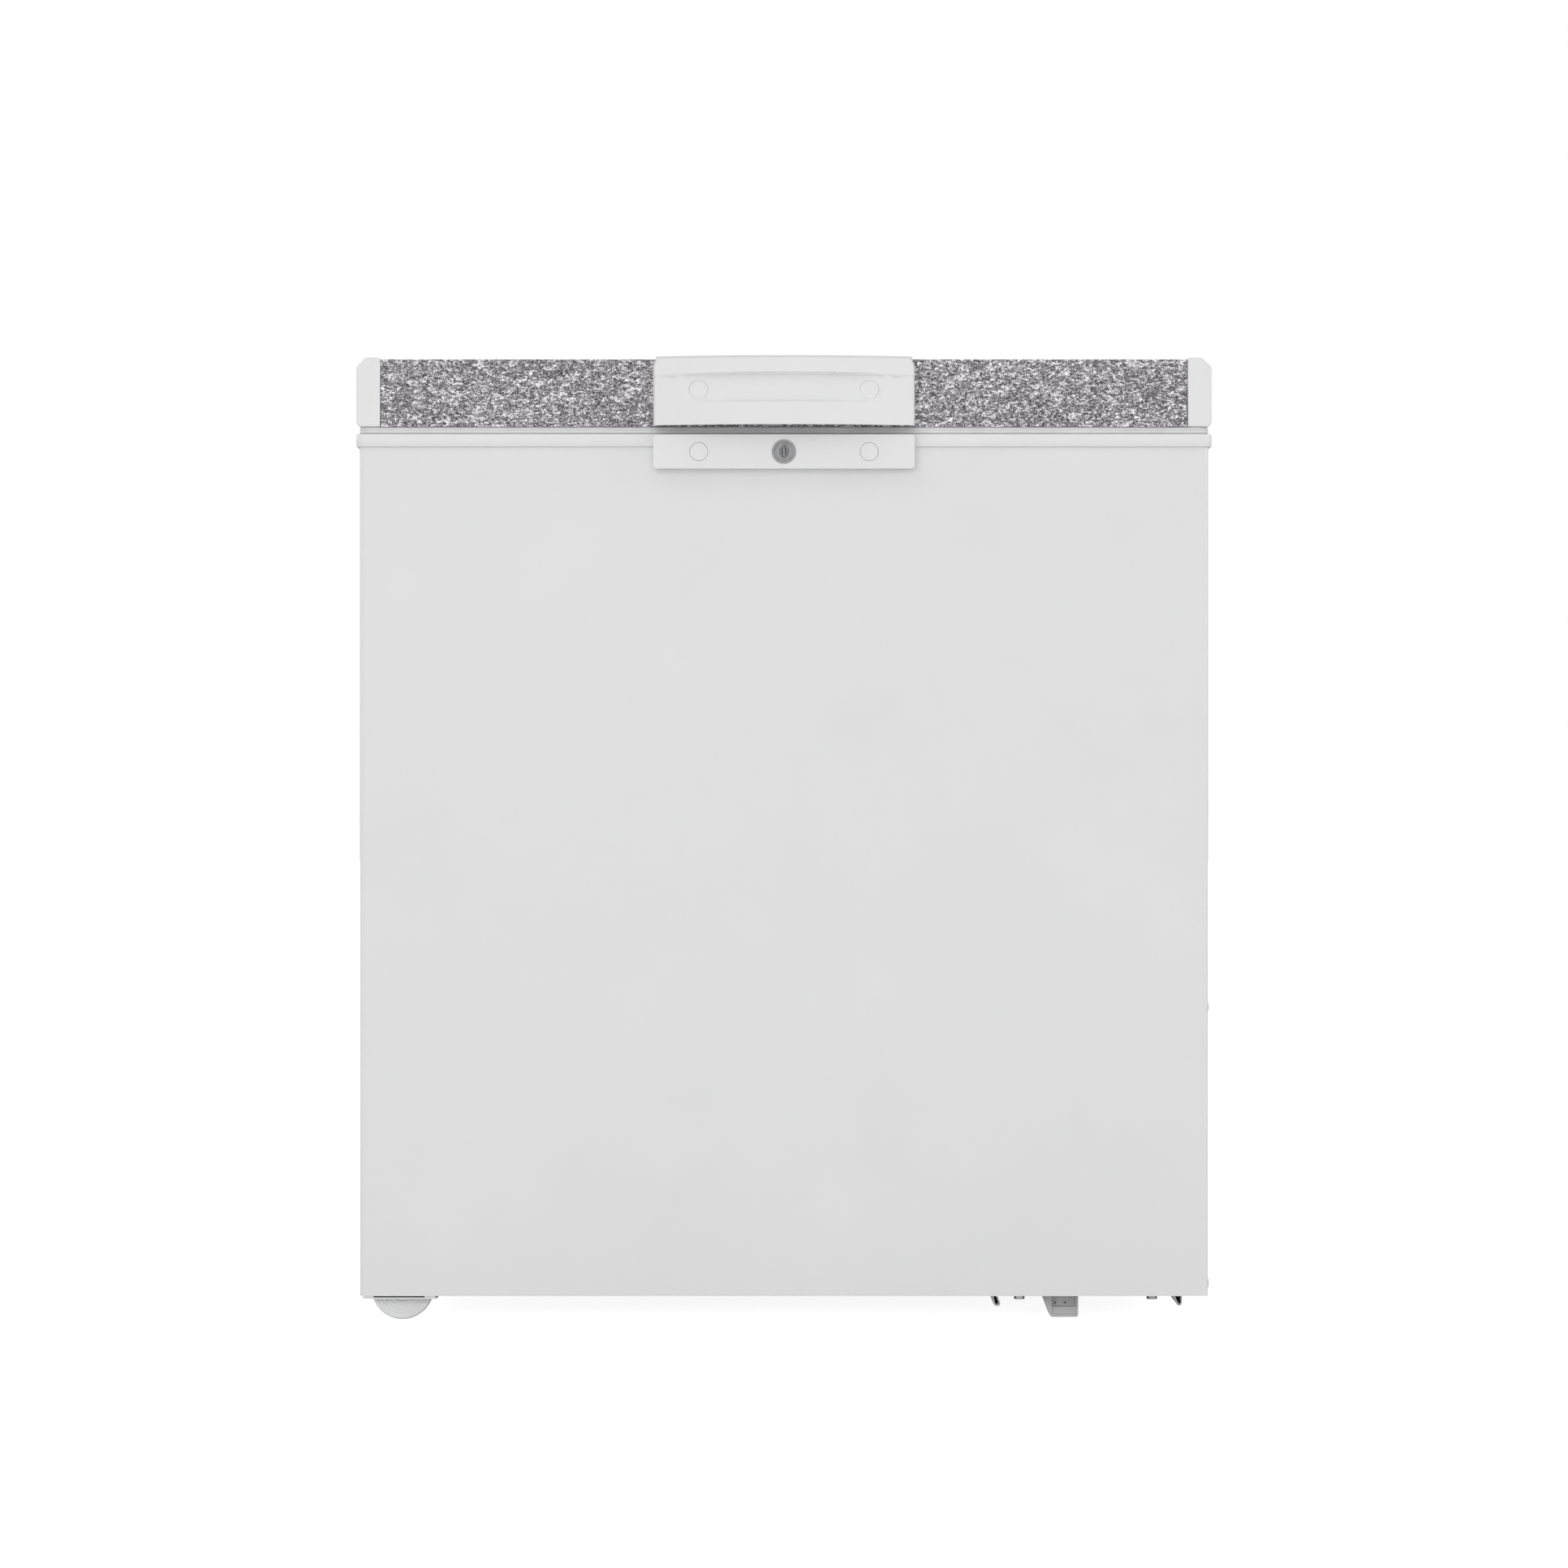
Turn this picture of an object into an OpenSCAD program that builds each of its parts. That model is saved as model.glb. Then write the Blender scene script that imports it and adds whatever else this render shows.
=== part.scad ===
// Chest freezer: a spring-hinged lid over an insulated cabinet, on two rollers and two feet.
// Millimetres, +Z up. The origin is on the floor under the middle of the overall box.
// The front faces -Y, and the machine room is at the right-hand end, +X.

/* [Overall size] */
// Width over the rim frame
overall_w = 755; // [750:1:760]
// Depth from the front of the handle to the back of the hinge covers
overall_d = 725; // [722:1:730]
// Height of the lid's end trims above the floor
overall_h = 850; // [848:1:852]

/* [Cabinet] */
// Gap between the floor and the underside of the cabinet
floor_gap = 22.2; // [22:0.1:22.4]
// Height of the rim frame's outer skirt
rim_h = 11.5; // [10:0.5:13]
// How far the rim frame stands proud of the skin
rim_proud = 3; // [2.5:0.1:3.5]
// Insulated wall, from the outside of the skin to the inside of the liner
wall = 62; // [61:0.5:63]
// Depth of the basket's ledge below the rim
ledge_drop = 70.9; // [70:0.1:72]
// Height of the storage floor above the ground
liner_floor = 82; // [80:1:84]
// Height of the step over the machine room above the ground
step_top = 330; // [328:1:332]
// Distance from the middle of the cabinet to the riser of the step
step_x = 140; // [138:1:142]
// Distance from the middle of the cabinet to the wall of the machine room
machine_x = 191; // [190.5:0.5:191.5]
// Height of the machine room's ceiling above the ground
machine_top = 283; // [282:0.5:284]

/* [Lid] */
// Height of the lid
lid_h = 61; // [60:0.5:62]
// Gap between the lid and the rim, filled by the gasket
gasket_gap = 6.1; // [5.5:0.1:7]
// Width of each end trim, seen from the front
trim_w = 21.5; // [20:0.5:23]
// How far the lid's inner panel dips below the underside of the lid
plug_drop = 19; // [15:1:20]

/* [Handle and lock] */
// Length of the handle and of the lock plate
handle_w = 230; // [220:5:240]
// How far the middle of the handle stands out from the front of the lid
handle_proud = 34.5; // [33:0.5:36]
// Radius of the handle's bow, seen from above
bow_r = 409; // [400:1:430]
// Distance of each screw from the middle of the handle
screw_x = 75; // [70:1:80]
// Height of the lock plate
plate_h = 30; // [29:0.5:31]
// Diameter of the lock barrel
barrel_d = 18.4; // [18:0.1:19]

/* [Feet and rollers] */
// Diameter of the rollers
roller_d = 55; // [54:0.5:56]
// Width of the rollers
roller_w = 20; // [18:1:21]
// Distance from the middle of the cabinet to the middle of a roller
roller_x = 338; // [336:0.5:338]

/* [Basket] */
// Width of the basket along the cabinet
basket_w = 230; // [220:5:235]
// Depth of the basket below its rim
basket_h = 190; // [150:5:200]

/* [Hidden] */
$fn = 48;

// Cabinet planes
skin_t = 1;
skin_r = 5;
rim_x = overall_w / 2;
skin_x = rim_x - rim_proud;
lid_front = -overall_d / 2 + handle_proud;
skin_front = lid_front + rim_proud;
skin_rear = overall_d / 2 - 20;
lid_rear = skin_rear + rim_proud;
lid_bottom = overall_h - lid_h;
rim_top = lid_bottom - gasket_gap;
rim_bottom = rim_top - rim_h;
skin_top = rim_top - 3;
rear_panel_y = skin_rear - 2;

// Storage space
liner_t = 1;
liner_x = skin_x - wall;
liner_front = skin_front + wall;
liner_rear = skin_rear - wall;
liner_r = 20;
ledge_z = rim_top - ledge_drop;
ledge_w = 8;
tube_gap = 10.5;
duct_r = 6;
store_y = (liner_front + liner_rear) / 2;
store_half_y = (liner_rear - liner_front) / 2;

// Lid
laminate_top = overall_h - 1.7;
laminate_x = rim_x - 0.5 - trim_w;
laminate_t = 1.2;
plug_bottom = lid_bottom - plug_drop;
plug_x = liner_x - 10.5;

// Handle and lock
bow_y = -overall_d / 2 + bow_r;
handle_screw_z = lid_bottom + 31;
plate_top = rim_top - 1.5;
plate_bottom = plate_top - plate_h;
plate_front = lid_front - 15;
lock_z = plate_top - plate_h / 2 - 0.2;
cam_y = lid_front - 3.6;
cam_reach = 28.5;

// Machine room
comp_x = 268.5;
comp_y = 170;
comp_r = 70;
bolt_dx = 59;
bolt_dy = 80;
tray_top = floor_gap - 0.5;
tray_front = skin_front + 40;
riser_y = -60;
duct_x = 345;
duct_y = -100;
inlet_y = -180;
inlet_z = 100;
drier_x = 225;
drier_y = 318;
gland_x = 300;
gland_z = 60;

// Side grille and controls
grille_y0 = -300;
grille_y1 = 320;
grille_z0 = 24;
panel_y0 = -275;
panel_y1 = -125;
panel_z0 = 165;
panel_z1 = 255;
knob_y = -225;
knob_z = 210;
switch_y = -168;
switch_tilt = 8;
lamp_y = -145;
lamp_dz = 15;
panel_floor = skin_x - 12.5;

// Rollers, feet and drain
roller_ys = [-298, 298];
axle_r = 3;
foot_fronts = [tray_front, 245];
drain_x = -200;
drain_y = -200;
drain_r = 8;
outlet_r = 9;
outlet_h = 14;

// Hinges
hinge_xs = [-225, 225];
pin_y = overall_d / 2 - 9;
pin_z = lid_bottom - 3;
pin_r = 3;

// Basket, at rest over the step
basket_x1 = liner_x - 7.5;
basket_x0 = basket_x1 - basket_w;
basket_xm = basket_x1 - basket_w / 2;
basket_top = ledge_z + 4.3;
basket_half_y = store_half_y - 6.75;
bail_y = store_half_y - 15.75;
bail_z = ledge_z + 4;
bail_drop = 42;
bail_x = 56;

run = 0.05;
seam = 0.1;

// ---------- shared shapes ----------

module block(a, b) translate(a) cube(b - a);

module rod_x(y, z, x0, x1, r) translate([x0, y, z]) rotate([0, 90, 0]) cylinder(h = x1 - x0, r = r);

module rod_y(x, z, y0, y1, r) translate([x, y1, z]) rotate([90, 0, 0]) cylinder(h = y1 - y0, r = r);

module rod_z(x, y, z0, z1, r) translate([x, y, z0]) cylinder(h = z1 - z0, r = r);

// Extrudes an outline drawn in (y, z) along X, or one drawn in (x, z) along Y
module along_x(x0, x1) translate([x0, 0, 0]) rotate([90, 0, 90]) linear_extrude(x1 - x0) children();

module along_y(y0, y1) translate([0, y1, 0]) rotate([90, 0, 0]) linear_extrude(y1 - y0) children();

// Rounded rectangle of squares and circles, so that its corners are true arcs
module rounded_rect(x0, y0, x1, y1, r) {
    translate([x0 + r, y0]) square([x1 - x0 - 2 * r, y1 - y0]);
    translate([x0, y0 + r]) square([x1 - x0, y1 - y0 - 2 * r]);
    for (x = [x0 + r, x1 - r], y = [y0 + r, y1 - r]) translate([x, y]) circle(r);
}

module rounded_block(a, b, r) {
    translate([0, 0, a[2]]) linear_extrude(b[2] - a[2]) rounded_rect(a[0], a[1], b[0], b[1], r);
}

// The storage space with its step, grown by g on every side but the top
module storage(g, top) {
    rounded_block([-liner_x - g, liner_front - g, step_top - g], [liner_x + g, liner_rear + g, top],
        liner_r + g);
    rounded_block([-liner_x - g, liner_front - g, liner_floor - g], [step_x + g, liner_rear + g, step_top],
        liner_r + g);
}

// The mouth of the rim frame: a rounded opening, inset from its widest by d
module mouth(d, z0, z1) {
    x = liner_x + 5.5 - d;
    rounded_block([-x, liner_front - 5.5 + d, z0], [x, liner_rear + 5.5 - d, z1], liner_r + 5 - d);
}

// Butt seams at y0 and y1, from top to bottom of a sheet on the right-hand side
module side_seams(x, y0, y1) {
    for (y = [y0 - seam, y1]) block([x, y, 0], [rim_x, y + seam, rim_top]);
}

module mirrored() {
    children();
    mirror([1, 0, 0]) children();
}

// The handle's bowed front, as a tall cylinder taken in by t
module bow(t) rod_z(0, bow_y, lid_bottom - 10, overall_h + 10, bow_r - t, $fn = 256);

function unit(v) = v / norm(v);
function heading(p, i) = let (
    a = i > 0 ? unit(p[i] - p[i - 1]) : [0, 0, 0],
    b = i < len(p) - 1 ? unit(p[i + 1] - p[i]) : [0, 0, 0]
) unit(a + b);
function normals(p, i, last) = i == len(p) ? [] : let (
    t = heading(p, i),
    n = unit(last - (last * t) * t)
) concat([n], normals(p, i + 1, n));

// A tube of k sides and radius r along the points p; up is any direction across its start
module tube(p, r, up, k = 8) {
    n = normals(p, 0, up);
    rings = [for (i = [0 : len(p) - 1]) let (b = cross(heading(p, i), n[i])) for (j = [0 : k - 1])
        p[i] + r * (cos(360 * j / k) * n[i] + sin(360 * j / k) * b)];
    last = (len(p) - 1) * k;
    polyhedron(rings, concat(
        [[for (j = [0 : k - 1]) j], [for (j = [k - 1 : -1 : 0]) last + j]],
        [for (i = [0 : len(p) - 2], j = [0 : k - 1]) let (q = (j + 1) % k)
            each [[i * k + j, (i + 1) * k + j, (i + 1) * k + q], [i * k + j, (i + 1) * k + q, i * k + q]]]));
}

// One turn of a rounded rectangle, starting at its right-rear corner
function turn(x0, y0, x1, y1, r) = [for (c = [[x1 - r, y1 - r, 0], [x0 + r, y1 - r, 90],
    [x0 + r, y0 + r, 180], [x1 - r, y0 + r, 270]], s = [0 : 22.5 : 90])
    [c[0] + r * cos(c[2] + s), c[1] + r * sin(c[2] + s)]];
function rising(q, z, pitch, turns) = [for (i = [0 : len(q) * turns - 1])
    [q[i % len(q)][0], q[i % len(q)][1], z + pitch * i / len(q)]];

// ---------- cabinet ----------

module outer_wrapper() {
    color("whitesmoke") difference() {
        rounded_block([-skin_x, skin_front, floor_gap], [skin_x, skin_rear + skin_r, skin_top], skin_r);
        rounded_block([-skin_x + skin_t, skin_front + skin_t, floor_gap + skin_t],
            [skin_x - skin_t, skin_rear + skin_r, skin_top + 1], skin_r - skin_t);
        block([-skin_x + 5, skin_front + 5, floor_gap - 1], [skin_x - 5, skin_rear + 1, floor_gap + 2]);
        block([-skin_x - 1, skin_rear, floor_gap - 1], [skin_x + 1, skin_rear + skin_r + 1, skin_top + 1]);
        block([skin_x - 3, -280, 36], [skin_x + 1, 300, 272]);
        for (x = [-screw_x, screw_x]) rod_y(x, lock_z, skin_front - 1, skin_front + 3, 2.1);
        grille_screw_places() rod_x(0, 0, skin_x - 3, skin_x + 1, 2.1);
        side_seams(skin_x - 6, -280, 300);
    }
}

module rear_panel() {
    color("gainsboro") difference() {
        block([-skin_x + 1.2, rear_panel_y, floor_gap + 1.2],
            [skin_x - 1.2, rear_panel_y + skin_t, skin_top]);
        block([204, rear_panel_y - 1, 40], [362, rear_panel_y + 2, 268]);
        hinge_screw_places() rod_y(0, 0, rear_panel_y - 1, rear_panel_y + 2, 2.1);
    }
}

module base_panel() {
    color("silver") difference() {
        block([-skin_x + 1.2, skin_front + 1.2, floor_gap + 1.2],
            [machine_x - 1.2, rear_panel_y - 0.2, floor_gap + 2.2]);
        roller_pockets(0.3);
        rod_z(drain_x, drain_y, 0, 100, drain_r + 2.3);
    }
}

module machine_room_wall() {
    x0 = machine_x - 1;
    color("silver") difference() {
        union() {
            block([x0, skin_front + 1.5, floor_gap + 1.2], [machine_x, rear_panel_y - 0.2, machine_top + 1]);
            block([x0, skin_front + 1.5, machine_top], [skin_x - 1.2, rear_panel_y - 0.2, machine_top + 1]);
        }
        rod_x(inlet_y, inlet_z, x0 - 1, machine_x + 1, 5);
        rod_z(duct_x, duct_y, machine_top - 1, machine_top + 2, duct_r);
        rod_z(300, knob_y, machine_top - 1, machine_top + 2, duct_r);
        for (y = [riser_y, 325]) {
            block([skin_x - 9, y - 5, machine_top - 1], [skin_x, y + 5, machine_top + 2]);
        }
    }
}

// Butt seams between the liner's panels: where the flats meet the rounded corners, the floor and the step
module liner_seams() {
    w = liner_t + 0.2;
    top = ledge_z;
    for (x = [-liner_x + liner_r, step_x - liner_r, liner_x - liner_r], y = [liner_front - w, liner_rear]) {
        block([x, y, liner_floor - w], [x + seam, y + w, top]);
    }
    for (x = [-liner_x - w, step_x, liner_x], y = [liner_front + liner_r, liner_rear - liner_r]) {
        block([x, y, liner_floor - w], [x + w, y + seam, top]);
    }
    block([-rim_x, liner_front - w, liner_floor], [rim_x, liner_rear + w, liner_floor + seam]);
    block([-rim_x, liner_front - w, step_top], [rim_x, liner_rear + w, step_top + seam]);
    block([-rim_x, liner_front - w, step_top - liner_t - seam],
        [step_x + w, liner_rear + w, step_top - liner_t]);
    block([step_x + w, liner_front - w, liner_floor], [step_x + w + seam, liner_rear + w, top]);
}

module inner_liner() {
    color("lightgray") difference() {
        storage(liner_t, ledge_z - 2.5);
        storage(0, ledge_z);
        rod_z(drain_x, drain_y, liner_floor - 5, liner_floor + 5, drain_r + 2.3);
        liner_seams();
    }
}

module cabinet_foam() {
    color("khaki") difference() {
        rounded_block([-skin_x + 7, skin_front + 7, floor_gap + 2.4],
            [skin_x - 7, rear_panel_y - 0.2, skin_top - 1], 8);
        storage(tube_gap, rim_top + 10);
        block([machine_x - 1.2, skin_front, 0], [rim_x, rim_x, machine_top + 1.2]);
        roller_pockets(0.4);
        rod_z(drain_x, drain_y, 0, liner_floor, drain_r + 2.5);
        rod_x(inlet_y, inlet_z, step_x, machine_x, 5);
        rod_x(inlet_y + 2, inlet_z, step_x, step_x + 24, 8);
        rod_z(duct_x, duct_y, machine_top, 697, duct_r);
        block([liner_x + 5, duct_y - 40, 682], [duct_x + duct_r, duct_y + duct_r, 697]);
        rod_z(300, knob_y, machine_top, step_top - tube_gap + 1, duct_r);
        hinge_screw_places() rod_y(0, 0, rear_panel_y - 8, rear_panel_y, 2.3);
    }
}

// Joints between the frame's four rails and its four corner pieces
module frame_joints() {
    for (x = [-liner_x + 22, liner_x - 22], y = [lid_front - 1, liner_rear - 10]) {
        block([x, y, ledge_z - 30], [x + seam, y + 80, rim_top + 1]);
    }
    for (x = [-rim_x - 1, liner_x - 10], y = [liner_front + 22, liner_rear - 22]) {
        block([x, y, ledge_z - 30], [x + 80, y + seam, rim_top + 1]);
    }
}

module top_frame() {
    color("white") difference() {
        frame_section();
        frame_joints();
    }
}

module frame_section() {
    union() {
        difference() {
            rounded_block([-rim_x, lid_front, rim_bottom], [rim_x, lid_rear, rim_top], 8);
            rounded_block([-rim_x + 2, lid_front + 2, rim_bottom - 1],
                [rim_x - 2, lid_rear - 2, rim_top - 2], 3);
            mouth(0, rim_bottom - 1, rim_top + 1);
        }
        difference() {
            mouth(-2, ledge_z - 2, rim_top);
            mouth(0, ledge_z, rim_top + 1);
            mouth(ledge_w, ledge_z - 3, rim_top);
        }
        difference() {
            mouth(ledge_w - 2, ledge_z - 22, ledge_z - 1);
            mouth(ledge_w, ledge_z - 23, ledge_z);
        }
    }
}

// ---------- refrigeration circuit ----------

module evaporator_tube() {
    off = liner_t + 5;
    r = liner_r + off;
    y0 = liner_front - off;
    y1 = liner_rear + off;
    z = step_top - off + 0.5;
    x = step_x + off;
    path = concat(
        [[machine_x + 14, inlet_y, inlet_z], [x + 14, inlet_y, inlet_z], [x + 4, inlet_y + 4, inlet_z],
            [x, inlet_y + 14, inlet_z]],
        rising(turn(-liner_x - off, y0, x, y1, r), inlet_z + 6, 34, 6),
        [[x, -110, z - 9], [x, -80, z], [x + 4, -68, z], [x + 14, -62, z], [liner_x - 14, -62, z],
            [liner_x + 1, -57, z], [liner_x + off, -44, z], [liner_x + off, 0, z + 8]],
        rising(turn(-liner_x - off, y0, liner_x + off, y1, r), step_top + 14, 38, 9),
        [[liner_x + off, duct_y - 26, 688], [liner_x + off + 3, duct_y - 12, 689],
            [duct_x - 12, duct_y - 2, 690], [duct_x - 3, duct_y, 688], [duct_x, duct_y, 680]]);
    color("silver") tube(path, 4, [0, 0, 1], 6);
}

module condenser_tube() {
    x = skin_x - 4;
    y0 = skin_front + 4;
    c = 6;
    first_z = 312;
    pitch = 62;
    end_y = 300;
    right = [[x, end_y - 20, 0], [x, y0 + c, 0], [x - c * 0.3, y0 + c * 0.3, 0], [x - c, y0, 0]];
    left = [for (i = [3 : -1 : 0]) [-right[i][0], right[i][1], 0]];
    across = concat(right, left);
    function pass(k) = let (up = [0, 0, first_z + k * pitch]) k % 2 == 0
        ? [for (p = across) p + up] : [for (i = [7 : -1 : 0]) across[i] + up];
    function bend(k) = let (s = k % 2 == 0 ? -1 : 1, z = first_z + k * pitch)
        [[s * x, end_y - 4, z + 6], [s * x, end_y, z + 20], [s * x, end_y, z + pitch - 20],
            [s * x, end_y - 4, z + pitch - 6]];
    first = [for (i = [1 : 7]) across[i] + [0, 0, first_z]];
    last_z = first_z + 7 * pitch;
    path = concat(
        [[x - 15.5, riser_y, 244], [x - 15.5, riser_y, 256], [x, riser_y, 278], [x, riser_y, first_z - 14],
            [x, riser_y - 4, first_z - 4], [x, riser_y - 14, first_z]],
        first, bend(0),
        [for (k = [1 : 6]) each concat(pass(k), bend(k))],
        pass(7),
        [[x, 312, last_z], [x, 322, last_z - 4], [x, 325, last_z - 14], [x, 325, 278],
            [x - 15.5, 325, 256], [x - 40, 322, 250], [drier_x + 20, drier_y, 250],
            [drier_x + 5, drier_y, 248], [drier_x, drier_y, 240]]);
    color("dimgray") tube(path, 2.5, [0, 1, 0]);
}

// Section of a round can of radius r and height h, with its edges rounded by c
module can_section(r, h, c) {
    square([r - c, h]);
    translate([0, c]) square([r, h - 2 * c]);
    for (z = [c, h - c]) translate([r - c, z]) circle(c);
}

module bolt_places() {
    for (x = [-bolt_dx, bolt_dx], y = [-bolt_dy, bolt_dy]) translate([comp_x + x, comp_y + y, 0]) children();
}

module compressor() {
    base_z = tray_top + 14.4;
    color("#202224") difference() {
        union() {
            translate([comp_x, comp_y, base_z + 8]) rotate_extrude() can_section(comp_r, 160, 28);
            rod_z(comp_x, comp_y, base_z + 92, base_z + 97, comp_r + 4);
            rod_z(comp_x, comp_y, base_z, base_z + 20, 38);
            rounded_block([comp_x - 66, comp_y - 92, base_z], [comp_x + 66, comp_y + 92, base_z + 2.9], 10);
            rod_y(240, 100, 92, 130, 4.5);
            rod_y(297, 150, 92, 130, 5.5);
            rod_y(comp_x + 45, 170, 98, 130, 3.5);
        }
        bolt_places() rod_z(0, 0, base_z - 1, base_z + 5, 8);
    }
}

module compressor_grommets() {
    color("#1a1a1a") bolt_places() difference() {
        union() {
            rod_z(0, 0, tray_top, tray_top + 14.3, 12);
            rod_z(0, 0, tray_top + 14, tray_top + 17.5, 7.8);
        }
        rod_z(0, 0, tray_top - 1, tray_top + 19, 4.2);
    }
}

module compressor_bolts() {
    color("lightsteelblue") bolt_places() {
        rod_z(0, 0, tray_top - 2, tray_top + 24, 4);
        translate([0, 0, tray_top - 4.5]) cylinder(h = 3, r = 7, $fn = 6);
        translate([0, 0, tray_top + 17.7]) cylinder(h = 5, r = 7, $fn = 6);
    }
    for (x = [-bolt_dx, bolt_dx]) color("lightsteelblue") {
        rod_z(comp_x + x, tray_front + 6, tray_top - 6, tray_top - 1.5, 4.7);
    }
}

module compressor_tray() {
    y1 = rear_panel_y - 5;
    color("silver") difference() {
        union() {
            block([187, tray_front, tray_top - 1.5], [349, y1, tray_top]);
            along_y(tray_front, y1) polygon([[182.5, 22], [188.5, 22], [192.5, 12], [191, 9.8], [188.3, 9.8],
                [186.4, 11.5]]);
            along_y(tray_front, y1) polygon([[343, 21.9], [354, 21.9], [354, 12], [352, 9.8], [349.8, 10.6]]);
        }
        along_y(tray_front - 1, y1 + 1) polygon([[186.2, 19.4], [188, 19.4], [190.8, 12.4], [189.4, 11.2],
            [187.9, 12]]);
        along_y(tray_front - 1, y1 + 1) polygon([[347.2, 19.8], [352.7, 19.8], [352.7, 12.4], [351, 11.4]]);
        bolt_places() rod_z(0, 0, 10, 30, 4.1);
    }
}

module relay_cover() {
    color("#17181a") difference() {
        block([247, 66, 84], [290, 110, 150]);
        rod_z(comp_x, comp_y, 80, 160, comp_r + 0.4);
        rod_z(comp_x, comp_y, 126, 136, comp_r + 4.4);
    }
}

module filter_drier() {
    color("peru") translate([drier_x, drier_y, 150]) {
        translate([0, 0, 8]) rotate_extrude() can_section(9.5, 74, 4);
        rod_z(0, 0, 0, 20, 2.2);
        rod_z(0, 0, 70, 90, 3.6);
    }
}

module capillary_tube() {
    coil_x = 300;
    coil_r = 30;
    turns = 4.25;
    steps = 12;
    coil = [for (i = [0 : turns * steps]) let (a = -360 * i / steps)
        [coil_x + coil_r * cos(a), -60 + coil_r * sin(a), 42 + 3 * i / steps]];
    path = concat([[drier_x, drier_y, 150], [drier_x, drier_y, 60], [drier_x + 8, drier_y - 2, 44],
        [drier_x + 30, drier_y - 6, 38], [320, 300, 38], [344, 288, 38], [350, 264, 38], [350, 20, 38],
        [346, -10, 38], [335, -36, 40]], coil,
        [[coil_x - 30, -92, 57], [coil_x - 50, -110, 66], [coil_x - 58, -150, 88], [coil_x - 66, -172, 98],
            [coil_x - 80, inlet_y, inlet_z], [machine_x + 14.2, inlet_y, inlet_z]]);
    color("peru") tube(path, 1, [1, 0, 0], 6);
}

module suction_tube() {
    path = [[duct_x, duct_y, 679.8], [duct_x, duct_y, 262], [duct_x, duct_y + 3, 245],
        [duct_x - 4, duct_y + 14, 228],
        [325, -30, 180], [310, 5, 160], [300, 30, 151], [297, 48, 150], [297, 91.8, 150]];
    color("peru") tube(path, 4, [0, 1, 0]);
}

module discharge_tube() {
    path = [[240, 91.8, 100], [240, 50, 100], [240, 34, 103], [240, 20, 114], [242, 12, 130], [248, 2, 150],
        [270, -24, 160], [330, -58, 164], [346, riser_y, 167], [skin_x - 20.5, riser_y, 174],
        [skin_x - 19.5, riser_y, 186], [skin_x - 19.5, riser_y, 243.8]];
    color("peru") tube(path, 3, [0, 0, 1]);
}

// ---------- controls ----------

module thermostat() {
    color("gainsboro") difference() {
        union() {
            block([335, knob_y - 20, knob_z - 20], [panel_floor - 2, knob_y + 20, knob_z + 20]);
            rod_x(knob_y, knob_z, panel_floor - 3, panel_floor - 0.2, 7);
        }
        rod_x(knob_y, knob_z, 337, panel_floor + 1, pin_r + run);
    }
}

module thermostat_sensor() {
    path = [[334.8, knob_y, knob_z], [318, knob_y, knob_z + 2], [306, knob_y, knob_z + 10],
        [300, knob_y, knob_z + 26], [300, knob_y, 288]];
    color("peru") {
        tube(path, 1.2, [0, 1, 0], 6);
        rod_z(300, knob_y, 287, 316, 4);
    }
}

module control_panel() {
    lug_x = panel_floor - 7;
    color("white") difference() {
        union() {
            difference() {
                block([panel_floor, panel_y0 + 1, panel_z0 + 1], [skin_x - 0.2, panel_y1 - 1, panel_z1 - 1]);
                block([panel_floor + 2, panel_y0 + 3, panel_z0 + 3], [skin_x, panel_y1 - 3, panel_z1 - 3]);
            }
            difference() {
                block([skin_x - 1.3, panel_y0 - 4, panel_z0 - 4], [skin_x - 0.2, panel_y1 + 4, panel_z1 + 4]);
                block([skin_x - 2, panel_y0 + 3, panel_z0 + 3], [skin_x, panel_y1 - 3, panel_z1 - 3]);
            }
            for (s = [-1, 1]) {
                block([lug_x, switch_y + s * 10.6 - 1.4, knob_z - 6],
                    [panel_floor + 1, switch_y + s * 10.6 + 1.4, knob_z + 6]);
            }
        }
        rod_x(knob_y, knob_z, panel_floor - 1, panel_floor + 3, 4);
        block([panel_floor - 1, switch_y - 9, knob_z - 15], [panel_floor + 3, switch_y + 9, knob_z + 15]);
        rod_y(panel_floor - 2, knob_z, switch_y - 13, switch_y + 13, 1.5 + run);
        for (s = [-1, 1]) rod_x(lamp_y, knob_z + s * lamp_dz, panel_floor - 1, panel_floor + 3, 3.1);
        block([panel_floor + 2, panel_y0, panel_z0], [panel_floor + 2 + seam, panel_y1, panel_z1]);
        side_seams(panel_floor + 2, panel_y0 + 3, panel_y1 - 3);
    }
}

module thermostat_knob() {
    x = panel_floor + 2.4;
    color("whitesmoke") difference() {
        union() {
            rod_x(knob_y, knob_z, x, x + 3, 19);
            rod_x(knob_y, knob_z, x + 2, x + 10.2, 15);
            rod_x(knob_y, knob_z, 339, x + 1, pin_r);
        }
        for (s = [-1, 1]) {
            block([x + 4, knob_y + s * 11 - 7, knob_z - 16], [x + 12, knob_y + s * 11 + 7, knob_z + 16]);
        }
    }
}

module fast_freeze_switch() {
    x = panel_floor - 2;
    color("orange") translate([x, 0, knob_z]) rotate([0, switch_tilt, 0]) {
        along_y(switch_y - 7.5, switch_y + 7.5) polygon([[-5, -9], [10, -12.5], [8, 0], [10, 12.5], [-5, 9]]);
        rod_y(0, 0, switch_y - 11.8, switch_y + 11.8, 1.5);
    }
}

module lamp(s) rod_x(lamp_y, knob_z + s * lamp_dz, panel_floor - 1, panel_floor + 3.5, 3);

module power_lamp() color("limegreen") lamp(1);

module alarm_lamp() color("red") lamp(-1);

module grille_screw_places() {
    for (y = [grille_y0 + 8, grille_y1 - 8], z = [grille_z0 + 7, machine_top - 7]) {
        translate([0, y, z]) children();
    }
}

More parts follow.
